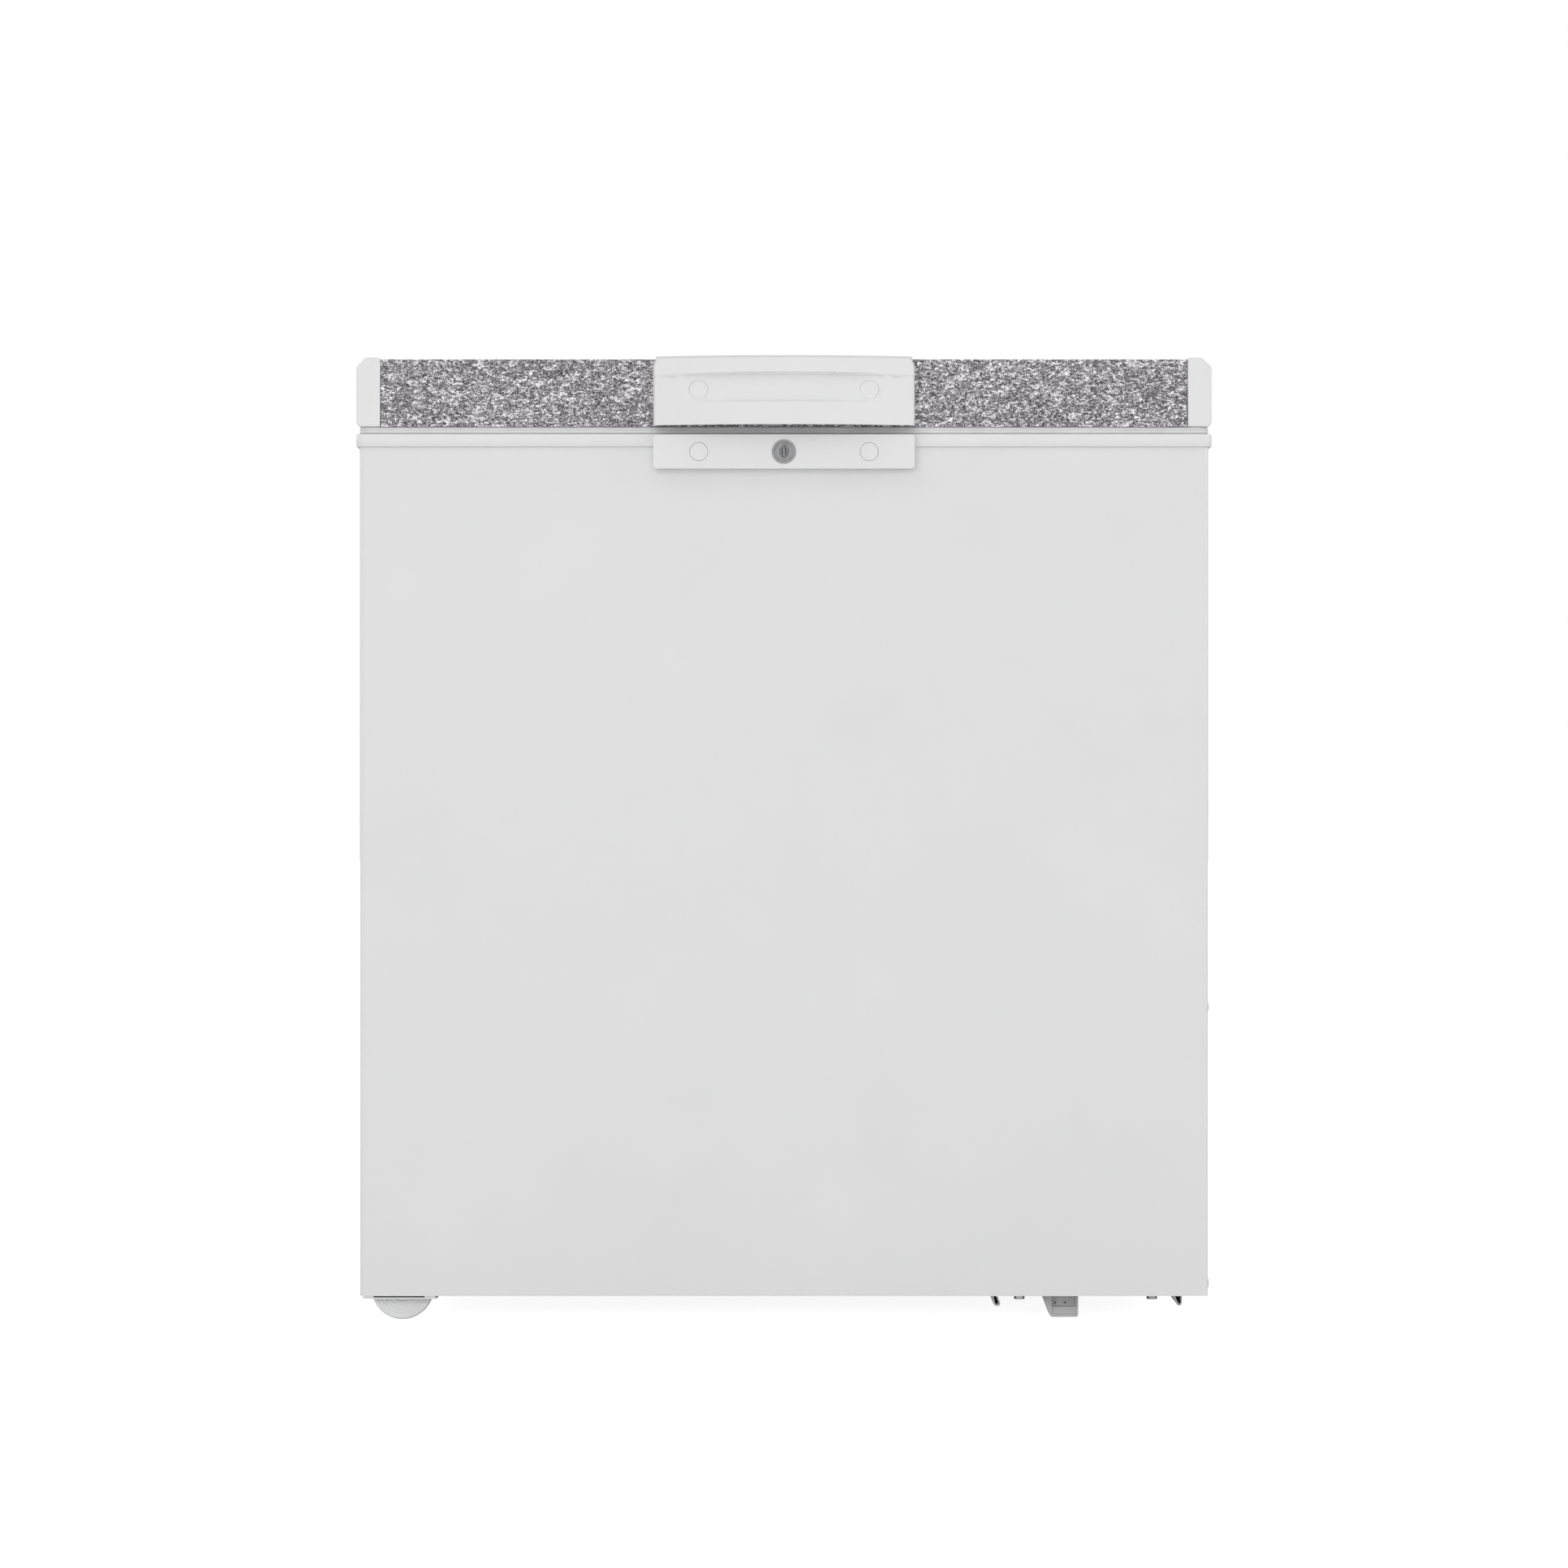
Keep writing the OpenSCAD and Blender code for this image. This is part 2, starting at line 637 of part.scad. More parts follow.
module side_grille() {
    slot_w = 5;
    slot_pitch = 13;
    color("white") difference() {
        union() {
            along_x(skin_x, skin_x + 1.5) difference() {
                rounded_rect(grille_y0, grille_z0, grille_y1, machine_top, 6);
                translate([panel_y0, panel_z0]) square([panel_y1 - panel_y0, panel_z1 - panel_z0]);
                for (i = [0 : 27], z = [50, 160]) {
                    translate([-70 + slot_pitch * i, z]) square([slot_w, 96]);
                }
            }
            difference() {
                block([skin_x - 3.5, -108, 38], [skin_x + 0.5, 298, 268]);
                block([skin_x - 4, -106, 40], [skin_x + 1, 296, 266]);
            }
        }
        grille_screw_places() rod_x(0, 0, skin_x - 1, skin_x + 3, 2.1);
        side_seams(skin_x - 1, panel_y0, panel_y1);
    }
}

module grille_screws() {
    color("silver") grille_screw_places() {
        rod_x(0, 0, skin_x - 6, skin_x + 2, 2);
        rod_x(0, 0, skin_x + 1.5, skin_x + 2.8, 4);
    }
}

module rear_cover() {
    y = rear_panel_y + 1.2;
    color("gainsboro") difference() {
        block([196, y, 30], [370, y + 1.3, 278]);
        for (i = [0 : 15]) block([212, y - 1, 100 + i * 10], [352, y + 3, 104 + i * 10]);
        rod_y(gland_x, gland_z, y - 1, y + 3, 7.1);
    }
}

module mains_gland() {
    y = rear_panel_y + 2.5;
    color("#202020") difference() {
        union() {
            rod_y(gland_x, gland_z, y - 5, y + 7, 7);
            rod_y(gland_x, gland_z, y, y + 3, 10);
        }
        rod_y(gland_x, gland_z, y - 6, y + 8, 3.75);
    }
}

// ---------- drain ----------

module drain_tube() {
    color("white") difference() {
        union() {
            rod_z(drain_x, drain_y, floor_gap + 0.1, liner_floor + 1, drain_r + 2);
            rod_z(drain_x, drain_y, liner_floor + 0.05, liner_floor + 1.5, drain_r + 8);
        }
        rod_z(drain_x, drain_y, 0, liner_floor + 5, drain_r);
        rod_z(drain_x, drain_y, 0, floor_gap + 0.1 + outlet_h, outlet_r);
    }
}

module drain_plug() {
    z = liner_floor + 1.8;
    color("gray") difference() {
        union() {
            rod_z(drain_x, drain_y, z - 17, z + 1, drain_r - run);
            rod_z(drain_x, drain_y, z, z + 3, drain_r + 6);
            block([drain_x - 7, drain_y - 1.5, z + 2], [drain_x + 7, drain_y + 1.5, z + 14]);
        }
        rod_y(drain_x, z + 8.5, drain_y - 5, drain_y + 5, 3);
    }
}

// ---------- lock ----------

module lock_plate() {
    w = handle_w / 2;
    color("white") difference() {
        union() {
            difference() {
                along_y(plate_front, skin_front - 0.2) rounded_rect(-w, plate_bottom, w, plate_top, 3);
                block([-w + 2, plate_front + 2, plate_bottom + 2], [w - 2, skin_front, plate_top - 2]);
                block([-w - 1, lid_front - 0.2, rim_bottom - 0.2], [w + 1, skin_front, plate_top + 1]);
            }
            for (x = [-screw_x, screw_x]) rod_y(x, lock_z, plate_front + 1, lid_front - 0.2, 10.3);
        }
        for (x = [-screw_x, screw_x]) {
            rod_y(x, lock_z, plate_front - 1, plate_front + 11, 8.2);
            rod_y(x, lock_z, plate_front, skin_front, 2.1);
        }
        rod_y(0, lock_z, plate_front - 1, plate_front + 3, barrel_d / 2 + 1.4);
        block([-15, cam_y - 2.2, plate_top - 3], [33, cam_y + 1.4, plate_top + 1]);
    }
}

module plate_screw_covers() {
    color("white") for (x = [-screw_x, screw_x]) rod_y(x, lock_z, plate_front + 0.3, plate_front + 4, 8);
}

module plate_screws() {
    color("silver") for (x = [-screw_x, screw_x]) {
        rod_y(x, lock_z, plate_front + 8, plate_front + 11, 4);
        rod_y(x, lock_z, plate_front + 10, skin_front + 6, 2);
    }
}

module lock_housing() {
    color("silver") difference() {
        union() {
            rod_y(0, lock_z, plate_front - 0.8, plate_front + 8.5, barrel_d / 2 + 1.2);
            block([-20, plate_front + 2.2, lock_z - 11.5], [-9, plate_front + 4.2, lock_z + 11.5]);
            block([9, plate_front + 2.2, lock_z - 11.5], [20, plate_front + 4.2, lock_z + 11.5]);
        }
        rod_y(0, lock_z, plate_front - 2, plate_front + 10, barrel_d / 2 - 0.5 + run);
    }
}

module lock_barrel() {
    color("darkgray") difference() {
        union() {
            rod_y(0, lock_z, plate_front - 1.2, plate_front + 9, barrel_d / 2 - 0.5);
            rod_y(0, lock_z, plate_front + 8, cam_y + 2.4, 3);
        }
        block([-0.9, plate_front - 2, lock_z - 5.2], [0.9, plate_front + 5, lock_z + 5.2]);
    }
}

// The cam points to +X when unlocked, and its crescent hooks over the keeper a quarter turn later
module lock_cam() {
    color("silver") translate([0, cam_y + 1, lock_z]) rotate([90, 0, 0]) linear_extrude(2) difference() {
        union() {
            circle(5.5);
            translate([0, -3]) square([cam_reach + 1, 6]);
            intersection() {
                difference() {
                    circle(cam_reach + 3);
                    circle(cam_reach);
                }
                polygon([[0, 0], [45, -4.6], [45, 21]]);
            }
        }
        circle(3.02);
    }
}

// ---------- feet and rollers ----------

module roller_pockets(g) {
    for (y = roller_ys) {
        block([-roller_x - 30 - g, y - 14 - g, 0], [-roller_x + 30 + g, y + 14 + g, roller_d + 3.5 + g]);
    }
}

module roller_housings() {
    lip_z = floor_gap - 2.8;
    color("whitesmoke") for (y = roller_ys) difference() {
        union() {
            block([-roller_x - 30, y - 14, lip_z], [-roller_x + 30, y + 14, roller_d + 3.5]);
            block([-roller_x - 33.7, y - 25, lip_z], [-roller_x + 31.4, y + 25, lip_z + 1.4]);
            for (x = [-roller_x - 29, -roller_x + 25.5]) {
                block([x - 4.7, y - 25, lip_z + 1], [x + 4.7, y + 25, lip_z + 2.7]);
            }
        }
        block([-roller_x - 28.5, y - 12.5, 0], [-roller_x + 28.5, y + 12.5, roller_d + 2]);
        rod_y(-roller_x, roller_d / 2, y - 20, y + 20, axle_r + run);
    }
}

module roller_axles() {
    color("silver") for (y = roller_ys) rod_y(-roller_x, roller_d / 2, y - 13.8, y + 13.8, axle_r);
}

module roller(y) {
    y0 = y - roller_w / 2;
    y1 = y + roller_w / 2;
    color("whitesmoke") difference() {
        rod_y(-roller_x, roller_d / 2, y0, y1, roller_d / 2);
        rod_y(-roller_x, roller_d / 2, y0 - 1, y1 + 1, axle_r + run);
        for (r = [9, 15, 21], s = [y0 - 1, y1 - 1]) difference() {
            rod_y(-roller_x, roller_d / 2, s, s + 2, r + 1.5);
            rod_y(-roller_x, roller_d / 2, s - 1, s + 3, r);
        }
    }
}

module roller_front() roller(roller_ys[0]);

module roller_rear() roller(roller_ys[1]);

// Each foot is a moulding under the tray, open at its front over a low inner lip
module feet() {
    z = tray_top - 1.6;
    color("gainsboro") for (y = foot_fronts) difference() {
        along_y(y, y + 40) {
            polygon([[229.3, z], [261.6, z], [261.6, 1.5], [260.1, 0], [238, 0], [236.5, 1.5]]);
        }
        block([238.2, y - 1, 9], [259.6, y + 12, z - 1.2]);
        block([238.2, y - 1, 2.6], [259.6, y + 4, 10]);
        for (x = [241.5, 250.5]) rod_y(x, 12, y + 10, y + 18, 1.1);
    }
}

// ---------- lid ----------

module lid_top() {
    color("#a09fa3") difference() {
        block([-laminate_x, lid_front, lid_bottom], [laminate_x, lid_rear, laminate_top]);
        block([-laminate_x - 1, lid_front + laminate_t, lid_bottom - 1],
            [laminate_x + 1, lid_rear - laminate_t, laminate_top - laminate_t]);
        lid_screw_holes(2.1);
    }
}

module lid_foam() {
    g = laminate_t + 0.2;
    color("khaki") difference() {
        union() {
            block([-laminate_x + 1.3, lid_front + g, lid_bottom + g],
                [laminate_x - 1.3, lid_rear - g, laminate_top - g]);
            rounded_block([-plug_x + g, -252 + g, plug_bottom + g], [plug_x - g, 270 - g, lid_bottom + g + 1],
                25 - g);
        }
        lid_screw_holes(2.3);
    }
}

module lid_inner_panel() {
    t = laminate_t;
    color("white") difference() {
        union() {
            block([-rim_x + 4.5, lid_front + 3, lid_bottom], [rim_x - 4.5, lid_rear - 3, lid_bottom + t]);
            rounded_block([-plug_x, -252, plug_bottom], [plug_x, 270, lid_bottom + 0.5], 25);
        }
        rounded_block([-plug_x + t, -252 + t, plug_bottom + t], [plug_x - t, 270 - t, lid_bottom + 5],
            25 - t);
    }
}

module lid_side_trims() {
    x0 = laminate_x + 0.2;
    x1 = rim_x - 0.5;
    cut = 8.6;
    r = 4;
    t = 2.5;
    color("white") mirrored() difference() {
        along_y(lid_front - 1, lid_rear + 1) union() {
            polygon([[x0, lid_bottom], [x1 - r, lid_bottom], [x1 - r, lid_bottom + r], [x1, lid_bottom + r],
                [x1, overall_h - cut], [x1 - cut, overall_h], [x0, overall_h]]);
            translate([x1 - r, lid_bottom + r]) circle(r);
        }
        along_y(lid_front + 1.5, lid_rear - 1.5) polygon([[x0 - 1, lid_bottom - 1], [x1 - t, lid_bottom - 1],
            [x1 - t, overall_h - cut - 1], [x1 - cut - 1, overall_h - t], [x0 - 1, overall_h - t]]);
    }
}

module lid_gasket() {
    color("silver") difference() {
        rounded_block([-rim_x + 8, lid_front + 7.5, rim_top + 0.3],
            [rim_x - 8, lid_rear - 7.5, lid_bottom - 0.1],
            12);
        rounded_block([-rim_x + 23, lid_front + 22.5, rim_top],
            [rim_x - 23, lid_rear - 22.5, lid_bottom + 1], 6);
    }
}

module lid_screw_holes(r) {
    for (x = [-screw_x, screw_x]) rod_y(x, handle_screw_z, lid_front - 5, lid_front + 17, r);
    for (h = hinge_xs, x = [-10, 10]) rod_y(h + x, pin_z + 39, lid_rear - 16, lid_rear + 5, r);
}

// Side view of the handle, in (y, z): the top laps over the lid's front edge
module handle_side(t) {
    y = lid_front - 0.2;
    top = overall_h - t;
    polygon([[y + t, lid_bottom - t], [y - 40, lid_bottom - t], [y - 40, lid_bottom + 44],
        [y - 24, top - 2.5],
        [y - 18, top], [y + t, top]]);
}

module handle() {
    w = handle_w / 2;
    color("white") difference() {
        union() {
            difference() {
                intersection() {
                    along_x(-w, w) handle_side(0);
                    bow(0);
                }
                intersection() {
                    along_x(-w + 3, w - 3) handle_side(3);
                    bow(3);
                }
            }
            block([-w, lid_front - 1, laminate_top + 0.2], [w, lid_front + 10, overall_h]);
            intersection() {
                for (x = [-screw_x, screw_x]) rod_y(x, handle_screw_z, -overall_d / 2, lid_front - 0.2, 10.4);
                bow(1);
            }
        }
        for (x = [-screw_x, screw_x]) {
            rod_y(x, handle_screw_z, -overall_d / 2 - 1, lid_front - 4, 8.3);
            rod_y(x, handle_screw_z, lid_front - 5, lid_front + 1, 2.2);
        }
    }
}

module handle_screw_covers() {
    color("white") intersection() {
        for (x = [-screw_x, screw_x]) rod_y(x, handle_screw_z, -overall_d / 2, lid_front - 23, 8);
        bow(0.3);
    }
}

module lid_screws() {
    color("silver") {
        for (x = [-screw_x, screw_x]) {
            rod_y(x, handle_screw_z, lid_front - 7, lid_front - 4, 4);
            rod_y(x, handle_screw_z, lid_front - 5, lid_front + 16, 2);
        }
        for (h = hinge_xs, x = [-10, 10]) {
            rod_y(h + x, pin_z + 39, lid_rear - 15, lid_rear + 3, 2);
            rod_y(h + x, pin_z + 39, lid_rear + 2.2, lid_rear + 4.5, 4);
        }
    }
}

// A plate on the lid's front, inside the handle, with a shelf that the cam hooks over
module lock_keeper() {
    color("silver") difference() {
        union() {
            block([-14, lid_front - 2.2, lid_bottom + 0.5], [-2.5, lid_front - 0.2, lid_bottom + 26]);
            block([-12, lid_front - 9, lid_bottom + 0.5], [-3.8, lid_front - 1, lid_bottom + 2.5]);
        }
        rod_y(-8.2, lid_bottom + 18, lid_front - 3, lid_front, 2);
    }
}

// ---------- hinges ----------

module hinge_screw_places() {
    for (h = hinge_xs, x = [-12, 12], z = [668, 740]) translate([h + x, 0, z]) children();
}

module hinge_brackets() {
    y = rear_panel_y + 1.2;
    color("silver") for (h = hinge_xs) difference() {
        union() {
            block([h - 24, y, 650], [h + 24, y + 2, rim_bottom - 3]);
            for (x = [h - 24, h + 22]) along_x(x, x + 2) {
                polygon([[y, 650], [y + 9, 650], [pin_y + 7, 680], [pin_y + 7, pin_z], [pin_y - 7, pin_z],
                    [pin_y - 7, rim_bottom - 8], [y, rim_bottom - 14]]);
                translate([pin_y, pin_z]) circle(7);
            }
        }
        rod_x(pin_y, pin_z, h - 30, h + 30, pin_r + run);
        for (x = [-12, 12], z = [668, 740]) rod_y(h + x, z, y - 1, y + 3, 2.1);
    }
}

module hinge_leaves() {
    y = lid_rear + 0.2;
    color("silver") for (h = hinge_xs) difference() {
        union() {
            block([h - 19, y, pin_z + 10], [h + 19, y + 2, pin_z + 56]);
            for (x = [h - 19, h + 17]) along_x(x, x + 2) {
                polygon([[y, pin_z + 10], [y, pin_z + 32], [y + 5, pin_z + 32], [pin_y + 5.6, pin_z + 2],
                    [pin_y - 5.6, pin_z - 2]]);
                translate([pin_y, pin_z]) circle(6);
            }
        }
        rod_x(pin_y, pin_z, h - 30, h + 30, pin_r + run);
        for (x = [-10, 10]) rod_y(h + x, pin_z + 39, y - 1, y + 3, 2.1);
    }
}

module hinge_pins() {
    color("silver") for (h = hinge_xs) {
        rod_x(pin_y, pin_z, h - 26, h + 26, pin_r);
        rod_x(pin_y, pin_z, h + 24.2, h + 26, 4.5);
    }
}

module hinge_springs() {
    turns = 12;
    steps = 10;
    color("dimgray") for (h = hinge_xs) {
        tube([for (i = [0 : turns * steps]) let (a = 360 * i / steps)
            [h - 14 + 28 * i / (turns * steps), pin_y + 5 * cos(a), pin_z + 5 * sin(a)]], 0.9, [0, 1, 0], 5);
    }
}

module hinge_covers() {
    y = rear_panel_y + 1.2;
    color("white") for (h = hinge_xs) difference() {
        along_y(y + 0.1, overall_d / 2) rounded_rect(h - 28, 644, h + 28, rim_bottom - 1, 3);
        block([h - 26.4, y - 1, 645.5], [h + 26.4, overall_d / 2 - 1.4, rim_bottom]);
    }
}

module hinge_screws() {
    y = rear_panel_y + 3.2;
    color("silver") hinge_screw_places() {
        rod_y(0, 0, y, y + 2.4, 4);
        rod_y(0, 0, y - 10, y + 1, 2);
    }
}

// ---------- basket ----------

// A lattice of nx by ny square openings in a sheet from [x0, y0] to [x1, y1]
module lattice(x0, y0, x1, y1, nx, ny) {
    bar = 4;
    px = (x1 - x0 - bar) / nx;
    py = (y1 - y0 - bar) / ny;
    difference() {
        translate([x0, y0]) square([x1 - x0, y1 - y0]);
        for (i = [0 : nx - 1], j = [0 : ny - 1]) {
            translate([x0 + bar + i * px, y0 + bar + j * py]) square([px - bar, py - bar]);
        }
    }
}

module basket() {
    t = 3;
    z0 = basket_top - basket_h;
    y0 = store_y - basket_half_y;
    y1 = store_y + basket_half_y;
    hook = store_half_y + 4.75;
    color("white") {
        intersection() {
            union() {
                translate([0, 0, z0]) linear_extrude(t) lattice(basket_x0, y0, basket_x1, y1, 5, 12);
                for (x = [basket_x0, basket_x1 - t]) along_x(x, x + t) lattice(y0, z0, y1, basket_top, 12, 4);
                for (y = [y0, y1 - t]) along_y(y, y + t) lattice(basket_x0, z0, basket_x1, basket_top, 5, 4);
            }
            rounded_block([basket_x0, y0, z0], [basket_x1, y1, basket_top], 3);
        }
        block([basket_x0 + 14, store_y - hook, ledge_z + 0.3], [basket_x1 - 14, y0 + t, basket_top]);
        block([basket_x0 + 14, y1 - t, ledge_z + 0.3], [basket_x1 - 14, store_y + hook, basket_top]);
        for (s = [-1, 1]) {
            rod_x(store_y + s * bail_y, bail_z, basket_xm - 64, basket_xm + 64, 2);
            for (x = [-64, 62]) {
                block([basket_xm + x, store_y + s * (bail_y + 1.5) - 5, bail_z - 3.5],
                    [basket_xm + x + 2, store_y + s * (bail_y + 1.5) + 5, bail_z + 3.5]);
            }
        }
    }
}

// A bail that hangs from its bar inside the basket; s is -1 at the front, 1 at the rear
module bail(s) {
    y = store_y + s * bail_y;
    z = bail_z - bail_drop;
    color("white") difference() {
        union() {
            for (x = [basket_xm - bail_x, basket_xm + bail_x]) {
                rod_x(y, bail_z, x - 2, x + 2, 4.5);
                rod_z(x, y, z, bail_z - 3, 1.8);
                translate([x, y, z]) sphere(2.6);
            }
            rod_x(y, z, basket_xm - bail_x, basket_xm + bail_x, 1.8);
            rod_x(y, z, basket_xm - 40, basket_xm + 40, 4.5);
        }
        rod_x(y, bail_z, basket_xm - 60, basket_xm + 60, 2 + run);
    }
}

module basket_handle_front() bail(-1);

module basket_handle_rear() bail(1);

outer_wrapper();
rear_panel();
base_panel();
machine_room_wall();
inner_liner();
cabinet_foam();
top_frame();
evaporator_tube();
condenser_tube();
compressor();
compressor_grommets();
compressor_bolts();
compressor_tray();
relay_cover();
filter_drier();
capillary_tube();
suction_tube();
discharge_tube();
thermostat();
thermostat_sensor();
control_panel();
thermostat_knob();
fast_freeze_switch();
power_lamp();
alarm_lamp();
side_grille();
grille_screws();
rear_cover();
mains_gland();
drain_tube();
drain_plug();
lock_plate();
plate_screw_covers();
plate_screws();
lock_housing();
lock_barrel();
lock_cam();
roller_housings();
roller_axles();
roller_front();
roller_rear();
feet();
lid_top();
lid_foam();
lid_inner_panel();
lid_side_trims();
lid_gasket();
handle();
handle_screw_covers();
lid_screws();
lock_keeper();
hinge_brackets();
hinge_leaves();
hinge_pins();
hinge_springs();
hinge_covers();
hinge_screws();
basket();
basket_handle_front();
basket_handle_rear();
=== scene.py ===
"""The looks of a chest freezer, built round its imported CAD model. Metres, +Z up, the front faces -Y."""
import math

import bmesh
import bpy
from mathutils import Matrix, Vector


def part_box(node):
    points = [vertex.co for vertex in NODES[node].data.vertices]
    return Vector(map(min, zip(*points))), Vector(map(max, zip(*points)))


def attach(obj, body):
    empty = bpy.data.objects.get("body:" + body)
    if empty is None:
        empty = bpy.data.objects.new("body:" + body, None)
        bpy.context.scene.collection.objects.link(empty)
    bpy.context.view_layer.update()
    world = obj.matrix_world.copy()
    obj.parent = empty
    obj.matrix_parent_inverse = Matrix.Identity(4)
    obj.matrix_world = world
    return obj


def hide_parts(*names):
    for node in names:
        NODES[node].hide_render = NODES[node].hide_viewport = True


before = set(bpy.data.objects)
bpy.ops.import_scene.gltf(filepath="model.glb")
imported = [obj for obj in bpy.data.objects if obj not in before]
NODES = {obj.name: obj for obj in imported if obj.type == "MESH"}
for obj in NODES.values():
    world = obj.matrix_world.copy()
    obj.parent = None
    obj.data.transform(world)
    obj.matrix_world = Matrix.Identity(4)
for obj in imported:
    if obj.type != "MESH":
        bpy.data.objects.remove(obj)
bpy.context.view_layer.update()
WELD = 0.00001
# Nodes that the CAD cuts up by seams of 0.1 mm, which are closed here
SEAMED = ("outer_wrapper", "control_panel")
SEAM = 0.00012


# ---------- mesh helpers ----------

def new_object(name, verts, faces):
    mesh = bpy.data.meshes.new(name)
    mesh.from_pydata([tuple(v) for v in verts], [], faces)
    mesh.update()
    piece = bpy.data.objects.new(name, mesh)
    bpy.context.scene.collection.objects.link(piece)
    return piece


def tidy_mesh(piece):
    """Welds the mesh, turns its faces outwards and shades it smooth."""
    bm = bmesh.new()
    bm.from_mesh(piece.data)
    bmesh.ops.remove_doubles(bm, verts=bm.verts, dist=WELD)
    bmesh.ops.recalc_face_normals(bm, faces=bm.faces)
    bm.to_mesh(piece.data)
    bm.free()
    for polygon in piece.data.polygons:
        polygon.use_smooth = True
    return piece


def settle(piece):
    """Applies every modifier of a new piece."""
    bpy.context.view_layer.update()
    evaluated = piece.evaluated_get(bpy.context.evaluated_depsgraph_get())
    mesh = bpy.data.meshes.new_from_object(evaluated)
    piece.modifiers.clear()
    piece.data = mesh
    return piece


def joined(name, pieces):
    """One object that holds the meshes of several."""
    bm = bmesh.new()
    for piece in pieces:
        bm.from_mesh(piece.data)
        bpy.data.objects.remove(piece)
    mesh = bpy.data.meshes.new(name)
    bm.to_mesh(mesh)
    bm.free()
    whole = bpy.data.objects.new(name, mesh)
    bpy.context.scene.collection.objects.link(whole)
    return whole


def soften(piece, width, segments=3, angle=32):
    """Rounds the sharp edges, and evens the shading out over the flats."""
    bevel = piece.modifiers.new("edges", "BEVEL")
    bevel.width = width
    bevel.segments = segments
    bevel.limit_method = "ANGLE"
    bevel.angle_limit = math.radians(angle)
    bevel.miter_outer = "MITER_ARC"
    even = piece.modifiers.new("shading", "WEIGHTED_NORMAL")
    even.keep_sharp = False
    return piece


def ring(low, high, radius, z, corner=8):
    """A rounded rectangle at height z, anticlockwise from its right-rear corner."""
    points = []
    for i, (sx, sy) in enumerate(((1, 1), (-1, 1), (-1, -1), (1, -1))):
        cx = high[0] - radius if sx > 0 else low[0] + radius
        cy = high[1] - radius if sy > 0 else low[1] + radius
        for k in range(corner + 1):
            a = math.pi / 2 * (i + k / corner)
            points.append(Vector((cx + radius * math.cos(a), cy + radius * math.sin(a), z)))
    return points


def inset_ring(low, high, inset, radius, z, corner=8):
    return ring((low[0] + inset, low[1] + inset), (high[0] - inset, high[1] - inset), radius, z, corner)


def loft(name, rings, closed=False, cap_start=False, cap_end=False):
    """Skins rings that have the same number of points; closed joins the last ring to the first."""
    n = len(rings[0])
    verts = [p for r in rings for p in r]
    faces = []
    for i in range(len(rings) if closed else len(rings) - 1):
        a, b = i * n, (i + 1) % len(rings) * n
        for k in range(n):
            q = (k + 1) % n
            faces.append((a + k, a + q, b + q, b + k))
    if cap_start:
        faces.append(tuple(range(n)))
    if cap_end:
        faces.append(tuple(range(len(verts) - n, len(verts))))
    return tidy_mesh(new_object(name, verts, faces))


def revolve(name, profile, centre, axis="Y", steps=96):
    """Turns a profile of (radius, height) about an axis through centre. Heights run along the axis."""
    turn = {"X": Matrix.Rotation(math.pi / 2, 4, "Y"), "Y": Matrix.Rotation(-math.pi / 2, 4, "X"),
            "Z": Matrix.Identity(4)}[axis]
    place = Matrix.Translation(Vector(centre)) @ turn
    rings = []
    for r, h in profile:
        rings.append([place @ Vector((r * math.cos(2 * math.pi * k / steps),
                                      r * math.sin(2 * math.pi * k / steps), h)) for k in range(steps)])
    return loft(name, rings)


def wires(name, paths, radius, sides=8, cyclic=False):
    """Round wires along lists of points, as one mesh."""
    curve = bpy.data.curves.new(name, "CURVE")
    curve.dimensions = "3D"
    curve.bevel_depth = radius
    curve.bevel_resolution = sides // 2 - 2
    curve.use_fill_caps = True
    for path in paths:
        spline = curve.splines.new("POLY")
        spline.points.add(len(path) - 1)
        spline.use_cyclic_u = cyclic
        for point, p in zip(spline.points, path):
            point.co = (*p, 1)
    holder = bpy.data.objects.new(name, curve)
    bpy.context.scene.collection.objects.link(holder)
    bpy.context.view_layer.update()
    mesh = bpy.data.meshes.new_from_object(holder.evaluated_get(bpy.context.evaluated_depsgraph_get()))
    bpy.data.objects.remove(holder)
    piece = bpy.data.objects.new(name, mesh)
    bpy.context.scene.collection.objects.link(piece)
    return tidy_mesh(piece)


def rounded_path(points, radius, steps=5):
    """The polyline with an arc of that radius at each inner corner."""
    path = [Vector(points[0])]
    for a, b, c in zip(points, points[1:], points[2:]):
        a, b, c = Vector(a), Vector(b), Vector(c)
        u, v = (a - b).normalized(), (c - b).normalized()
        reach = min(radius, (a - b).length * 0.45, (c - b).length * 0.45)
        start, end = b + u * reach, b + v * reach
        for k in range(steps + 1):
            t = k / steps
            path.append(start.lerp(b, t).lerp(b.lerp(end, t), t))
    path.append(Vector(points[-1]))
    return path


def smooth(t):
    t = min(max(t, 0.0), 1.0)
    return t * t * (3 - 2 * t)


# ---------- materials ----------

